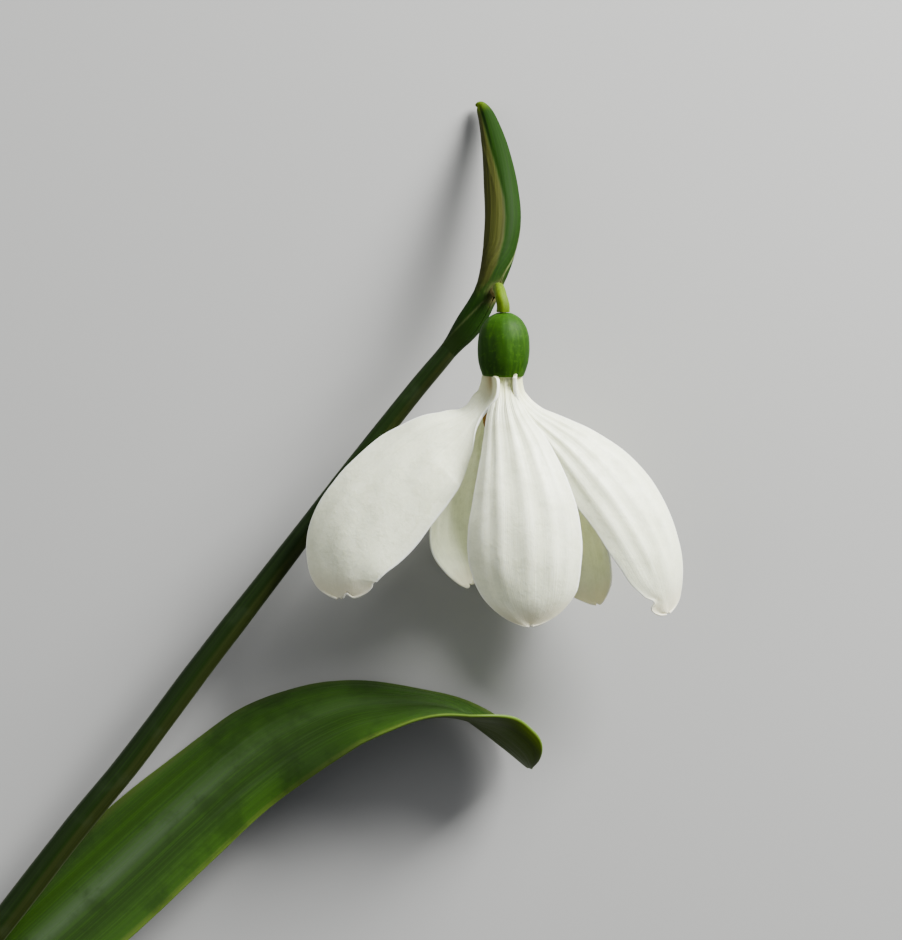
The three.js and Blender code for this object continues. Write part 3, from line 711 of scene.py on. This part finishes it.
class Finish:
    """One procedural material, with short names for the nodes that it is made of."""

    def __init__(self, name):
        self.material = bpy.data.materials.new(name)
        self.material.use_nodes = True
        self.tree = self.material.node_tree
        self.shader = self.tree.nodes["Principled BSDF"]
        self.place = self.add("TexCoord", {})
        split = self.add("SeparateXYZ", {0: self.place.outputs["UV"]})
        self.across, self.along = split.outputs[0], split.outputs[1]

    def join(self, source, socket):
        if hasattr(source, "is_output"):
            self.tree.links.new(source, socket)
        elif isinstance(source, (int, float)):
            socket.default_value = source
        else:
            socket.default_value = (*source[:3], 1) if len(socket.default_value) == 4 else source

    def add(self, kind, sources, **settings):
        """Adds a node with these settings and joins values or other nodes to its sockets."""
        node = self.tree.nodes.new("ShaderNode" + kind)
        for setting, value in settings.items():
            setattr(node, setting, value)
        for socket, source in sources.items():
            self.join(source, node.inputs[socket])
        return node

    def sum(self, operation, *values):
        return self.add("Math", dict(enumerate(values)), operation=operation).outputs[0]

    def fit(self, value, low, high, new_low=0.0, new_high=1.0):
        """Fits a value from one range to another, smoothly."""
        sources = dict(enumerate((value, low, high, new_low, new_high)))
        return self.add("MapRange", sources, interpolation_type="SMOOTHSTEP").outputs[0]

    def mix(self, share, first, second):
        return self.add("Mix", {0: share, 6: first, 7: second}, data_type="RGBA").outputs[2]

    def tint(self, base, mask, share, colour):
        """Mixes a colour in by a share of a mask."""
        return self.mix(self.sum("MULTIPLY", mask, share), base, colour)

    def flecks(self, base, pattern, span, share, colour):
        """Mixes a colour in where a pattern is high in its span."""
        return self.tint(base, self.fit(pattern, *span), share, colour)

    def ramp(self, value, stops):
        """A colour that changes with a value, given as (place, colour) stops."""
        node = self.add("ValToRGB", {0: value})
        node.color_ramp.interpolation = "EASE"
        band = node.color_ramp.elements
        while len(band) < len(stops):
            band.new(0.5)
        for element, (place, colour) in zip(band, stops):
            element.position = place
            element.color = (*colour[:3], 1)
        return node.outputs[0]

    def spots(self, scale, detail, rough=0.5):
        """Noise of one size all over a piece."""
        return self.noise((1, 1, 1), scale, detail, rough)

    def strands(self, across, along, detail, warp=0.0):
        """Noise drawn out along a piece, with so many lanes across it."""
        return self.noise((across, along, 1), 1.0, detail, source="UV", warp=warp)

    def noise(self, stretch, scale, detail, rough=0.5, source="Object", warp=0.0):
        stretched = self.add("Mapping", {"Vector": self.place.outputs[source], "Scale": stretch})
        return self.add("TexNoise", {
            "Vector": stretched.outputs[0], "Scale": scale, "Detail": detail,
            "Roughness": rough, "Distortion": warp,
        }).outputs["Fac"]

    def mark(self, name):
        """The value that the piece keeps at its points under this name."""
        return self.add("Attribute", {}, attribute_name=name).outputs["Fac"]

    def lift(self, height, distance, strength):
        """Adds a bump on top of the bumps so far."""
        node = self.add("Bump", {"Height": height, "Distance": distance, "Strength": strength})
        normal = self.shader.inputs["Normal"]
        if normal.is_linked:
            self.join(normal.links[0].from_socket, node.inputs["Normal"])
        self.join(node.outputs[0], normal)

    def edge(self):
        """1 at the long edges of a blade and 0 in its middle."""
        return self.sum("ABSOLUTE", self.sum("MULTIPLY_ADD", self.across, 2.0, -1.0))

    def through_light(self, weight, depth, tint):
        """Lets light pass some way through the tissue."""
        self.shader.inputs["Subsurface Weight"].default_value = weight
        self.shader.inputs["Subsurface Scale"].default_value = depth
        self.shader.inputs["Subsurface Radius"].default_value = tint

    def done(self, colour, roughness, gloss=0.5):
        """Joins the colour and roughness up and gives the material."""
        self.shader.inputs["Specular IOR Level"].default_value = gloss
        self.join(colour, self.shader.inputs["Base Color"])
        self.join(roughness, self.shader.inputs["Roughness"])
        return self.material


def shade(colour, factor):
    return tuple(channel * factor for channel in colour)


def petal_finish(settings):
    f = Finish("Petal tissue")
    white, cream, claw = settings.colour, settings.tip_colour, settings.claw_colour
    length = f.ramp(f.along, [
        (0.0, shade(claw, 0.8)), (0.03, claw), (0.14, shade(white, 0.97)), (0.3, white),
        (0.75, white), (0.9, shade(white, 0.88)), (1.0, cream),
    ])
    # The darker vein colour in the grooves between the ridges, past the claw, is partly vein colour and
    # partly painted shade in those hollows.
    groove = f.fit(f.mark("rib"), 0.7, 0.0)
    middle = f.fit(f.along, 0.1, 0.3)
    colour = f.tint(length, f.sum("MULTIPLY", groove, middle), 0.32, shade(settings.vein_colour, 1.25))
    streaks = f.strands(30, 1.3, 4, 0.3)
    colour = f.flecks(colour, streaks, (0.5, 0.72), 0.22, settings.vein_colour)
    mottle = f.fit(f.spots(620, 3, 0.6), 0.42, 0.68)
    colour = f.tint(colour, mottle, 0.3, settings.vein_colour)
    grain = f.spots(2600, 3, 0.6)
    colour = f.flecks(colour, grain, (0.45, 0.7), 0.16, shade(settings.vein_colour, 0.9))
    fine = f.strands(130, 1.6, 3)
    lines = f.sum("MULTIPLY", f.fit(fine, 0.46, 0.66), f.fit(f.along, 0.4, 0.0, 0.1, 0.6))
    colour = f.mix(lines, colour, claw)
    # Painted shade: brown down the channel of the claw, broken up by the fine lines.
    colour = f.tint(colour, f.mark("channel_shade"), f.fit(fine, 0.3, 0.6, 0.6, 1.0), (0.3, 0.22, 0.07))
    # Painted light: a bright rim along the long edges stands in for light shining through the thin margins.
    rim = f.fit(f.edge(), 0.94, 1.0)
    colour = f.tint(colour, rim, 0.7, (0.93, 0.95, 0.86))
    tip = f.sum("MULTIPLY", f.fit(f.along, 0.84, 1.0), f.fit(f.strands(9, 3, 3), 0.3, 0.6, 0.4, 1.0))
    colour = f.tint(colour, tip, 0.5, cream)
    f.through_light(0.35, 0.8 * MM, (1.0, 0.95, 0.7))
    f.shader.inputs["Sheen Weight"].default_value = 0.06
    f.lift(fine, 0.03 * MM, 0.6)
    f.lift(mottle, 0.05 * MM, 0.35)
    f.lift(grain, 0.03 * MM, 0.5)
    return f.done(colour, f.fit(mottle, 0.0, 1.0, 0.46, 0.6))


def anther_finish(settings):
    f = Finish("Anther")
    orange = settings.anther_colour
    length = f.ramp(f.along, [
        (0.0, (0.72, 0.74, 0.5)), (0.26, (0.74, 0.74, 0.46)), (0.36, shade(orange, 1.25)),
        (0.7, orange), (0.94, shade(orange, 0.7)), (1.0, shade(orange, 1.3)),
    ])
    grain = f.spots(4200, 3)
    colour = f.flecks(length, grain, (0.45, 0.7), 0.5, (0.6, 0.36, 0.07))
    f.through_light(0.15, 0.3 * MM, (1.0, 0.6, 0.3))
    f.lift(grain, 0.03 * MM, 0.8)
    return f.done(colour, 0.6)


def style_finish(settings):
    f = Finish("Style")
    pale = settings.style_colour
    length = f.ramp(f.along, [
        (0.0, shade(pale, 0.7)), (0.5, pale), (0.95, (0.82, 0.84, 0.7)), (1.0, (0.7, 0.62, 0.3)),
    ])
    streaks = f.strands(14, 3, 3)
    colour = f.flecks(length, streaks, (0.5, 0.7), 0.3, shade(pale, 0.6))
    f.through_light(0.2, 0.4 * MM, (1.0, 1.0, 0.6))
    f.lift(streaks, 0.02 * MM, 0.5)
    return f.done(colour, 0.5)


def ovary_finish(settings):
    f = Finish("Ovary skin")
    green = settings.ovary_colour
    light = (min(green[0] * 2.4, 1), min(green[1] * 2.0, 1), green[2] * 2.5)
    length = f.ramp(f.along, [
        (0.0, shade(light, 0.9)), (0.04, shade(green, 0.8)), (0.2, shade(green, 0.85)),
        (0.6, green), (0.85, shade(green, 1.1)), (1.0, shade(green, 1.3)),
    ])
    streaks = f.strands(26, 2.2, 4, 0.6)
    colour = f.flecks(length, streaks, (0.5, 0.68), 0.55, light)
    specks = f.noise((1, 1, 0.35), 3000, 2)
    colour = f.flecks(colour, specks, (0.55, 0.72), 0.35, shade(light, 1.2))
    dark = f.strands(18, 1.0, 2)
    colour = f.flecks(colour, dark, (0.55, 0.75), 0.4, shade(green, 0.5))
    f.through_light(0.08, 0.5 * MM, (0.6, 1.0, 0.2))
    f.lift(streaks, 0.04 * MM, 0.5)
    f.lift(specks, 0.02 * MM, 0.4)
    return f.done(colour, f.fit(specks, 0.3, 0.8, 0.52, 0.62), 0.08)


def pedicel_finish(settings):
    f = Finish("Pedicel skin")
    green = settings.pedicel_colour
    length = f.ramp(f.along, [
        (0.0, shade(green, 0.6)), (0.42, (0.16, 0.12, 0.04)), (0.54, (0.26, 0.23, 0.09)),
        (0.6, shade(green, 0.8)), (0.85, green), (1.0, shade(green, 0.7)),
    ])
    streaks = f.strands(12, 1.4, 4)
    colour = f.flecks(length, streaks, (0.48, 0.68), 0.45, shade(green, 1.7))
    dark = f.spots(2400, 2)
    colour = f.flecks(colour, dark, (0.55, 0.7), 0.3, shade(green, 0.45))
    f.through_light(0.1, 0.4 * MM, (0.8, 1.0, 0.3))
    f.lift(streaks, 0.03 * MM, 0.5)
    return f.done(colour, 0.6, 0.1)


def spathe_finish(settings):
    f = Finish("Spathe")
    green, skin = settings.spathe_colour, settings.skin_colour
    streaks = f.strands(90, 1.1, 4, 0.2)
    broad = f.strands(22, 0.9, 3)
    keel = f.flecks(green, streaks, (0.45, 0.7), 0.5, shade(green, 1.9))
    keel = f.flecks(keel, broad, (0.5, 0.75), 0.5, shade(green, 0.55))
    film = f.flecks(skin, broad, (0.42, 0.66), 0.6, shade(skin, 0.55))
    film = f.flecks(film, streaks, (0.5, 0.7), 0.35, shade(skin, 2.0))
    colour = f.mix(f.mark("skin"), keel, film)
    # Pale margins of the slit, and a painted highlight along the low ridge of the lower spathe.
    colour = f.mix(f.mark("rim"), colour, (0.14, 0.17, 0.06))
    lip = f.fit(f.spots(1600, 3), 0.35, 0.65)
    colour = f.tint(colour, f.mark("lip"), f.sum("MULTIPLY_ADD", lip, 0.5, 0.5), (0.22, 0.18, 0.07))
    foot = f.fit(f.along, 0.16, 0.02)
    colour = f.tint(colour, foot, 0.8, (0.009, 0.018, 0.003))
    tip = f.fit(f.along, 0.93, 1.0)
    colour = f.tint(colour, tip, 0.7, (0.09, 0.15, 0.006))
    f.through_light(0.12, 0.4 * MM, (0.8, 1.0, 0.3))
    f.lift(streaks, 0.04 * MM, 0.6)
    f.lift(f.spots(4000, 2), 0.015 * MM, 0.4)
    return f.done(colour, f.fit(streaks, 0.3, 0.8, 0.6, 0.72), 0.05)


def stem_finish(settings):
    f = Finish("Stem skin")
    green, olive = settings.stem_colour, settings.stripe_colour
    streaks = f.strands(40, 6, 4, 0.1)
    colour = f.flecks(green, streaks, (0.45, 0.7), 0.55, shade(green, 2.0))
    stripe = f.mix(f.fit(streaks, 0.4, 0.65), olive, shade(olive, 0.6))
    colour = f.tint(colour, f.mark("stripe"), 0.5, stripe)
    edges = f.sum("MULTIPLY", f.mark("rib"), f.fit(f.strands(3, 14, 3), 0.3, 0.6))
    colour = f.tint(colour, edges, 0.75, (0.12, 0.14, 0.07))
    bloom = f.fit(f.spots(300, 4), 0.5, 0.75)
    colour = f.tint(colour, bloom, 0.2, (0.03, 0.045, 0.02))
    pith = f.ramp(f.mark("cut"), [
        (0.0, (0.12, 0.18, 0.04)), (0.25, (0.3, 0.38, 0.14)),
        (0.7, (0.55, 0.6, 0.36)), (1.0, (0.42, 0.46, 0.26)),
    ])
    colour = f.mix(f.fit(f.mark("cut"), 0.0, 0.05), colour, pith)
    f.lift(streaks, 0.04 * MM, 0.5)
    f.lift(f.spots(2600, 3), 0.02 * MM, 0.35)
    return f.done(colour, f.fit(bloom, 0.0, 1.0, 0.5, 0.64), 0.1)


def leaf_finish(settings):
    f = Finish("Leaf blade")
    green, bloom = settings.colour, settings.bloom_colour
    margin, under = settings.margin_colour, settings.under_colour
    streaks = f.strands(70, 2.5, 4, 0.15)
    broad = f.strands(9, 2.2, 4, 0.6)
    patches = f.spots(170, 5, 0.6)
    upper = f.ramp(f.across, [
        (0.0, margin), (0.03, shade(margin, 0.8)), (0.055, shade(green, 1.5)), (0.15, shade(green, 1.15)),
        (0.32, shade(green, 0.75)), (0.6, green), (0.9, shade(green, 1.15)),
        (0.975, shade(margin, 0.6)), (1.0, margin),
    ])
    upper = f.tint(upper, f.mark("bloom"), f.fit(broad, 0.25, 0.7, 0.7, 1.0), bloom)
    upper = f.flecks(upper, streaks, (0.46, 0.66), 0.5, shade(green, 1.9))
    upper = f.flecks(upper, patches, (0.48, 0.64), 0.5, shade(green, 0.55))
    upper = f.flecks(upper, broad, (0.55, 0.75), 0.3, shade(bloom, 0.8))
    below = f.flecks(under, streaks, (0.45, 0.7), 0.5, shade(under, 0.55))
    below = f.flecks(below, broad, (0.5, 0.75), 0.3, shade(green, 1.1))
    colour = f.mix(f.mark("under"), upper, below)
    rim = f.fit(f.edge(), 0.965, 1.0)
    colour = f.tint(colour, rim, 0.85, shade(margin, 1.15))
    f.through_light(0.08, 0.5 * MM, (0.6, 1.0, 0.2))
    f.lift(streaks, 0.05 * MM, 0.6)
    f.lift(f.spots(3000, 3), 0.02 * MM, 0.4)
    return f.done(colour, f.fit(broad, 0.2, 0.8, 0.42, 0.6), 0.14)


def sheath_finish(settings):
    f = Finish("Papery sheath")
    paper = settings.sheath_colour
    streaks = f.strands(60, 1.6, 4, 0.3)
    colour = f.mix(f.fit(streaks, 0.4, 0.7), paper, shade(paper, 0.55))
    low = f.fit(f.along, 0.35, 0.0)
    colour = f.tint(colour, low, 0.5, (0.3, 0.24, 0.13))
    tip = f.fit(f.sum("ADD", f.along, f.sum("MULTIPLY", f.strands(12, 2, 3), 0.2)), 1.0, 1.12)
    colour = f.tint(colour, tip, 0.7, (0.3, 0.2, 0.09))
    f.through_light(0.25, 0.5 * MM, (1.0, 0.9, 0.6))
    f.lift(streaks, 0.08 * MM, 0.8)
    f.lift(f.spots(2500, 3), 0.02 * MM, 0.5)
    return f.done(colour, 0.62)


# ---------------------------------------------------------------- operators


class SNOWDROP_OT_petals(bpy.types.Operator):
    """Grows the three outer and the three inner petals"""

    bl_idname = "snowdrop.petals"
    bl_label = "Petals"

    def execute(self, context):
        settings = context.scene.snowdrop_petals
        finish = petal_finish(settings)
        for order, (node, petal) in enumerate(PETALS.items()):
            self.grow(node, petal, order, settings, finish)
        return {"FINISHED"}

    def grow(self, node, petal, order, settings, finish):
        places = np.r_[0, 0.003, 0.007, row_places(PETAL_ROWS, petal["end"][0])[1:]]
        sides = np.linspace(-1, 1, PETAL_COLUMNS)
        height = settings.ridge / MM
        channel = petal.get("channel", 0)

        def ribs(place, side):
            """Broad ridges along the blade and fine lines on the claw, which drift to the side a little."""
            strong = smooth_table(RIDGE_SHARE, place)
            side = side + 0.03 * np.sin(7 * place + order)
            lanes = sum(bump_at(side, lane, RIDGE_SPREAD) * share for lane, share in petal["ridges"])
            fine = np.cos(math.pi * CLAW_LINES * side + order)
            return lanes * strong + 0.5 * fine * smooth_table(CLAW_LINE_SHARE, place)

        def relief(place, side):
            """Ridges and a slow swell, and on some petals a channel down the claw with rolled edges."""
            calm = 1 - np.abs(side) ** 5
            swell = np.sin(11 * place + 4 * side + 2 * order) + 0.6 * np.sin(23 * place - 7 * side + order)
            swell = SWELL * swell * step_up(place, 0.2, 0.4)
            claw = 1 - step_up(place, 0.06, 0.2)
            rolled = channel * claw * (0.5 * bump_at(np.abs(side), 0.8, 0.25) - bump_at(side, 0.05, 0.4))
            return ((ribs(place, side) - 0.5) * height + swell) * calm + rolled

        points = petal_blade(petal, places, sides, relief)
        place, side = np.meshgrid(places, sides, indexing="ij")
        rim_thin = np.abs(side) ** 4 * step_up(place, 0.08, 0.25)
        foot = 1 - step_up(place, 0.02, 0.1)
        # Painted shade for the claw's channel, only on petals with a channel and only at the foot.
        channel_shade = np.clip(channel * 5, 0, 1) ** 2 * bump_at(side, CHANNEL_SHADE_SIDE, CHANNEL_SHADE_SPREAD) * foot
        marks = {
            "thin": 0.55 * np.maximum(rim_thin, step_up(place, 0.9, 1.0)),
            "rib": np.clip(ribs(place, side), 0, 1) + step_up(place, 0.8, 0.95),
            "channel_shade": channel_shade,
        }
        piece = grow_sheet("grown_" + node, points, places, sides, marks)
        give_wall(piece, settings.wall)
        finish_piece(piece, finish, node)


class SNOWDROP_OT_stamens(bpy.types.Operator):
    """Grows the six stamens and the style inside the flower"""

    bl_idname = "snowdrop.stamens"
    bl_label = "Stamens and style"

    def execute(self, context):
        settings = context.scene.snowdrop_stamens
        finish = anther_finish(settings)
        _, _, _, down = in_flower([0, 0, 0])
        foot = np.array([0, 0, RIM_HEIGHT])

        def lobes(place, angle):
            """Two pollen sacs with a groove between them."""
            anther = step_up(place, 0.34, 0.44) * (1 - step_up(place, 0.9, 1.0))
            return anther * (0.1 * np.cos(2 * angle) - 0.14 * bump_at(np.cos(angle), 1, 0.12))

        for k in range(STAMENS):
            outward = bearing(np.array(FIRST_STAMEN + 360 / STAMENS * k))
            spine = [foot + down * depth + outward * off for off, depth in STAMEN_SPINE]
            grow_rod(f"stamen_{k + 1}", finish, spine, STAMEN_RADIUS, STAMEN_GRID, lobes)
        spine = [foot + down * depth for depth in STYLE_DEPTHS]
        grow_rod("style", style_finish(settings), spine, STYLE_RADIUS, STAMEN_GRID)
        return {"FINISHED"}


class SNOWDROP_OT_ovary(bpy.types.Operator):
    """Grows the ribbed ovary and the thin pedicel it hangs on"""

    bl_idname = "snowdrop.ovary"
    bl_label = "Ovary and pedicel"

    def execute(self, context):
        settings = context.scene.snowdrop_greens
        rim, top = np.array(OVARY_RIM), np.array(OVARY_TOP)
        spine = [rim, (rim + top) / 2, top]

        def ribs(place, angle):
            """Six low ribs, fine streaks and three seams."""
            seams = 0.02 * np.cos(6 * angle) + 0.006 * np.cos(17 * angle + 2 * np.sin(5 * place))
            return seams - 0.012 * bump_at(np.cos(3 * angle), 1, 0.05) * step_up(place, 0.05, 0.3)

        def lines(place, angle):
            return 0.025 * np.cos(5 * angle + place) + 0.01 * np.sin(40 * place + angle)

        finish = ovary_finish(settings)
        grow_rod("ovary", finish, spine, OVARY_RADIUS, OVARY_GRID, ribs)
        finish = pedicel_finish(settings)
        grow_rod("pedicel", finish, PEDICEL_SPINE, PEDICEL_RADIUS, PEDICEL_GRID, lines)
        return {"FINISHED"}


class SNOWDROP_OT_spathe(bpy.types.Operator):
    """Grows the spathe with its pale skin, green keels and the slit that the pedicel comes out of"""

    bl_idname = "snowdrop.spathe"
    bl_label = "Spathe"

    def execute(self, context):
        settings = context.scene.snowdrop_greens
        places, sides = even_grid(*SPATHE_GRID)
        fold_x, fold_y = np.array(SPATHE_FOLD[::-1]).T
        ridge_x, ridge_y = np.array(SPATHE_RIDGE).T

        def fold_distance(points):
            return points[..., 0] - np.interp(points[..., 1], fold_y, fold_x)

        plain = wrap_points(SPATHE, places, sides)
        off_fold = fold_distance(plain)
        spine_z = Spine(SPATHE["spine"]).at(places)[:, None, 2]
        upper = step_up(plain[..., 2] - spine_z, 0, 0.4)
        off_ridge = plain[..., 1] - np.interp(plain[..., 0], ridge_x, ridge_y)
        # The low ridge is raised a little in the relief, and its pale colour through the rim mark is a
        # painted highlight.
        low_ridge_and_highlight = bump_at(off_ridge, 0, 0.13) * upper * (1 - step_up(places, 0.22, 0.25))[:, None]

        def relief(place, side, angle):
            """A groove and a ridge along the fold, fine strands, and lips at the slit."""
            blade = step_up(place, 0.3, 0.42)
            groove = -0.12 * bump_at(off_fold, 0.1, 0.2) * upper * blade
            strands = 0.02 * np.cos(26 * angle) + 0.015 * np.cos(61 * angle + 3 * place)
            lips = 0.2 * np.abs(side) ** 10 * bump_at(place, 0.25, 0.025)
            ridge = 0.08 * bump_at(off_fold, -0.75, 0.1) * upper * blade
            return groove + ridge + 0.07 * low_ridge_and_highlight + strands * step_up(place, 0.02, 0.2) + lips - 0.05

        points = wrap_points(SPATHE, places, sides, relief)
        place, side = np.meshgrid(places, sides, indexing="ij")
        rim = 0.5 * step_up(np.abs(side), 0.97, 1.0) * step_up(place, 0.28, 0.31)
        marks = {
            "skin": step_up(-off_fold, -0.1, 0.15) * step_up(place, 0.2, 0.3),
            # The rim mark holds the pale margins of the slit and the painted highlight along the low ridge.
            "rim": np.maximum(rim, 0.35 * low_ridge_and_highlight),
            "lip": np.abs(side) ** 10 * bump_at(place, 0.25, 0.03),
            "thin": np.maximum(0.5 * np.abs(side) ** 6, 0.8 * (1 - step_up(place, 0, 0.04))),
        }
        piece = grow_sheet("grown_spathe", points, places, sides, marks)
        give_wall(piece, THIN_WALL * MM)
        finish_piece(piece, spathe_finish(settings), "spathe")
        return {"FINISHED"}


class SNOWDROP_OT_stem(bpy.types.Operator):
    """Grows the long stem with its two edges, its olive stripe and its pale cut end"""

    bl_idname = "snowdrop.stem"
    bl_label = "Stem"

    def execute(self, context):
        settings = context.scene.snowdrop_greens
        places = np.r_[0, 0.0012, np.linspace(0.006, SHOULDER, 190), SHOULDER + 0.002, 1]
        sides = np.linspace(-1, 1, 41)

        def edges(place, angle):
            """Two raised edges and fine lines, which end at the shoulder."""
            grown = 1 - step_up(place, 0.94, SHOULDER)
            two = 0.03 * (bump_at(np.sin(angle), 1, 0.12) + bump_at(np.sin(angle), -1, 0.12))
            lines = 0.012 * np.cos(13 * angle) + 0.006 * np.sin(90 * place + 2 * angle)
            return grown * (two + lines - 0.018)

        points = rod_points(STEM_SPINE, STEM_RADIUS, places, sides, edges)
        points, spread, caps = close_ends(points, places)
        angle = math.pi * (sides + 1)
        right_side = step_up(-np.sin(angle), 0.1, 0.4) * step_up(np.cos(angle), -0.7, -0.4)
        rib = bump_at(np.abs(np.sin(angle)), 1, 0.04)
        cut = np.where(spread < 0.5, caps, 0)
        marks = {
            "stripe": np.tile(right_side, (len(spread), 1)),
            "rib": np.tile(rib, (len(spread), 1)),
            "cut": np.tile(cut[:, None], (1, len(sides))),
        }
        piece = grow_sheet("grown_stem", points, spread, sides, marks, ring=True)
        finish_piece(piece, stem_finish(settings), "stem")
        return {"FINISHED"}


class SNOWDROP_OT_leaf(bpy.types.Operator):
    """Grows the strap leaf with its waxy bloom and pale margins"""

    bl_idname = "snowdrop.leaf"
    bl_label = "Leaf"

    def execute(self, context):
        settings = context.scene.snowdrop_leaf
        blade = dict(LEAF)

        def facing(places, along):
            """Straight up, tilted by the leaf's own table."""
            tilt = np.radians(smooth_table(LEAF["tilt"], places))[:, None]
            uphill = unit_rows(np.cross([0, 0, 1], along))
            return np.array([0, 0, 1]) * np.cos(tilt) + uphill * np.sin(tilt)

        blade["facing"] = facing
        places = row_places(LEAF_ROWS, LEAF["end"][0])
        sides = np.linspace(-1, 1, LEAF_COLUMNS)

        def relief(place, side):
            """A sunken midrib, three ridges, fine veins and a slow swell, past the folded foot."""
            open_blade = step_up(place, 0.24, 0.36)
            midrib = -0.16 * bump_at(side, 0, 0.09)
            ridges = 0.07 * sum(bump_at(side, lane, spread) for lane, spread in LEAF_RIDGES)
            veins = 0.02 * np.cos(math.pi * 15 * side)
            swell = 0.12 * np.sin(16 * place + 2 * side) * (1 - side**2)
            return open_blade * (midrib + ridges + veins + swell) * (1 - side**8) - 0.02

        points = blade_points(blade, places, sides, relief)
        place, side = np.meshgrid(places, sides, indexing="ij")
        bloom = bump_at(side, 0.02, 0.16) * step_up(place, 0.2, 0.35)
        bloom *= 1 - 0.75 * step_up(place, 0.55, 0.75)
        marks = {"bloom": bloom, "thin": 0.55 * np.abs(side) ** 6}
        piece = grow_sheet("grown_leaf", points, places, sides, marks)
        give_wall(piece, settings.wall)
        finish_piece(piece, leaf_finish(settings), "leaf")
        return {"FINISHED"}


class SNOWDROP_OT_sheath(bpy.types.Operator):
    """Grows the papery sheath round the foot of the stem and the leaf"""

    bl_idname = "snowdrop.sheath"
    bl_label = "Base sheath"

    def execute(self, context):
        settings = context.scene.snowdrop_leaf
        places, sides = even_grid(*SHEATH_GRID)

        def relief(place, side, angle):
            """Soft pleats, stronger towards the torn upper edge."""
            pleats = 0.05 * np.cos(21 * angle + 2 * place) + 0.04 * np.cos(9 * angle - place)
            return (pleats - 0.06) * (0.4 + 0.6 * place)

        points = wrap_points(SHEATH, places, sides, relief)
        place, side = np.meshgrid(places, sides, indexing="ij")
        ragged = 0.25 * np.sin(11 * math.pi * side) + 0.15 * np.sin(23 * math.pi * side + 1)
        along = Spine(SHEATH["spine"]).along(np.array([1.0]))[0]
        points = points + along * ((ragged - 0.3) * step_up(place, 0.9, 1.0))[..., None]
        marks = {"thin": 0.5 * step_up(place, 0.8, 1.0)}
        piece = grow_sheet("grown_base_sheath", points, places, sides, marks, ring=True)
        give_wall(piece, THIN_WALL * MM)
        finish_piece(piece, sheath_finish(settings), "base_sheath")
        return {"FINISHED"}


class SNOWDROP_OT_stage(bpy.types.Operator):
    """Adds the plain floor, the soft lights and the camera"""

    bl_idname = "snowdrop.stage"
    bl_label = "Floor, light and camera"

    def execute(self, context):
        settings = context.scene.snowdrop_stage
        start_alone()
        bpy.ops.mesh.primitive_plane_add(size=FLOOR_SIZE)
        floor = bpy.context.object
        floor.name = "floor"
        f = Finish("Plain floor")
        f.through_light(0, 0, (1, 1, 1))
        floor.data.materials.append(f.done(tuple(settings.floor_colour), 0.9))
        middle = (ORIGIN + np.array(LIT_POINT)) * MM
        self.light("key light", middle, KEY_OFFSET, KEY_SIZE, settings.key_power)
        self.light("fill light", middle, FILL_OFFSET, FILL_SIZE, settings.fill_power)
        world = bpy.data.worlds.new("Studio") if context.scene.world is None else context.scene.world
        context.scene.world = world
        world.use_nodes = True
        background = world.node_tree.nodes["Background"]
        background.inputs["Color"].default_value = SKY
        background.inputs["Strength"].default_value = SKY_STRENGTH
        bpy.ops.object.camera_add(rotation=(0, 0, 0))
        camera = bpy.context.object
        camera.name = "camera"
        across, along = ((ORIGIN[:2] + np.array(CAMERA_AIM)) * MM).tolist()
        camera.location = (across, along, settings.camera_height)
        camera.data.sensor_width = SENSOR_WIDTH
        camera.data.lens = LENS
        camera.data.clip_start = NEAREST
        context.scene.camera = camera
        return {"FINISHED"}

    def light(self, name, target, offset, size, power):
        spot = np.array(target) + np.array(offset)
        bpy.ops.object.light_add(type="AREA", location=spot)
        lamp = bpy.context.object
        lamp.name = name
        lamp.data.size = size
        lamp.data.energy = power
        lamp.visible_camera = False
        aim = Vector(target) - Vector(spot)
        lamp.rotation_euler = aim.to_track_quat("-Z", "Y").to_euler()


class SNOWDROP_PT_panel(bpy.types.Panel):
    """Lists the pieces of the snowdrop with their sizes and colours"""

    bl_label = "Snowdrop flower"
    bl_idname = "SNOWDROP_PT_panel"
    bl_space_type = "VIEW_3D"
    bl_region_type = "UI"
    bl_category = "Snowdrop"

    def draw(self, context):
        for operator in OPERATORS:
            self.layout.operator(operator.bl_idname)
        for name in SETTINGS:
            box = self.layout.box()
            group = getattr(context.scene, name)
            for key in group.bl_rna.properties.keys():
                if key not in ("rna_type", "name"):
                    box.prop(group, key)


SETTINGS = {
    "snowdrop_petals": PetalSettings,
    "snowdrop_stamens": StamenSettings,
    "snowdrop_greens": GreenSettings,
    "snowdrop_leaf": LeafSettings,
    "snowdrop_stage": StageSettings,
}
OPERATORS = (
    SNOWDROP_OT_petals,
    SNOWDROP_OT_stamens,
    SNOWDROP_OT_ovary,
    SNOWDROP_OT_spathe,
    SNOWDROP_OT_stem,
    SNOWDROP_OT_leaf,
    SNOWDROP_OT_sheath,
    SNOWDROP_OT_stage,
)


def register():
    for name, group in SETTINGS.items():
        bpy.utils.register_class(group)
        setattr(bpy.types.Scene, name, PointerProperty(type=group))
    for operator in OPERATORS:
        bpy.utils.register_class(operator)
    bpy.utils.register_class(SNOWDROP_PT_panel)


def unregister():
    bpy.utils.unregister_class(SNOWDROP_PT_panel)
    for operator in reversed(OPERATORS):
        bpy.utils.unregister_class(operator)
    for name, group in SETTINGS.items():
        delattr(bpy.types.Scene, name)
        bpy.utils.unregister_class(group)


def main():
    register()
    bpy.ops.snowdrop.petals()
    bpy.ops.snowdrop.stamens()
    bpy.ops.snowdrop.ovary()
    bpy.ops.snowdrop.spathe()
    bpy.ops.snowdrop.stem()
    bpy.ops.snowdrop.leaf()
    bpy.ops.snowdrop.sheath()
    bpy.ops.snowdrop.stage()
    bpy.context.view_layer.update()


if __name__ == "__main__":
    main()
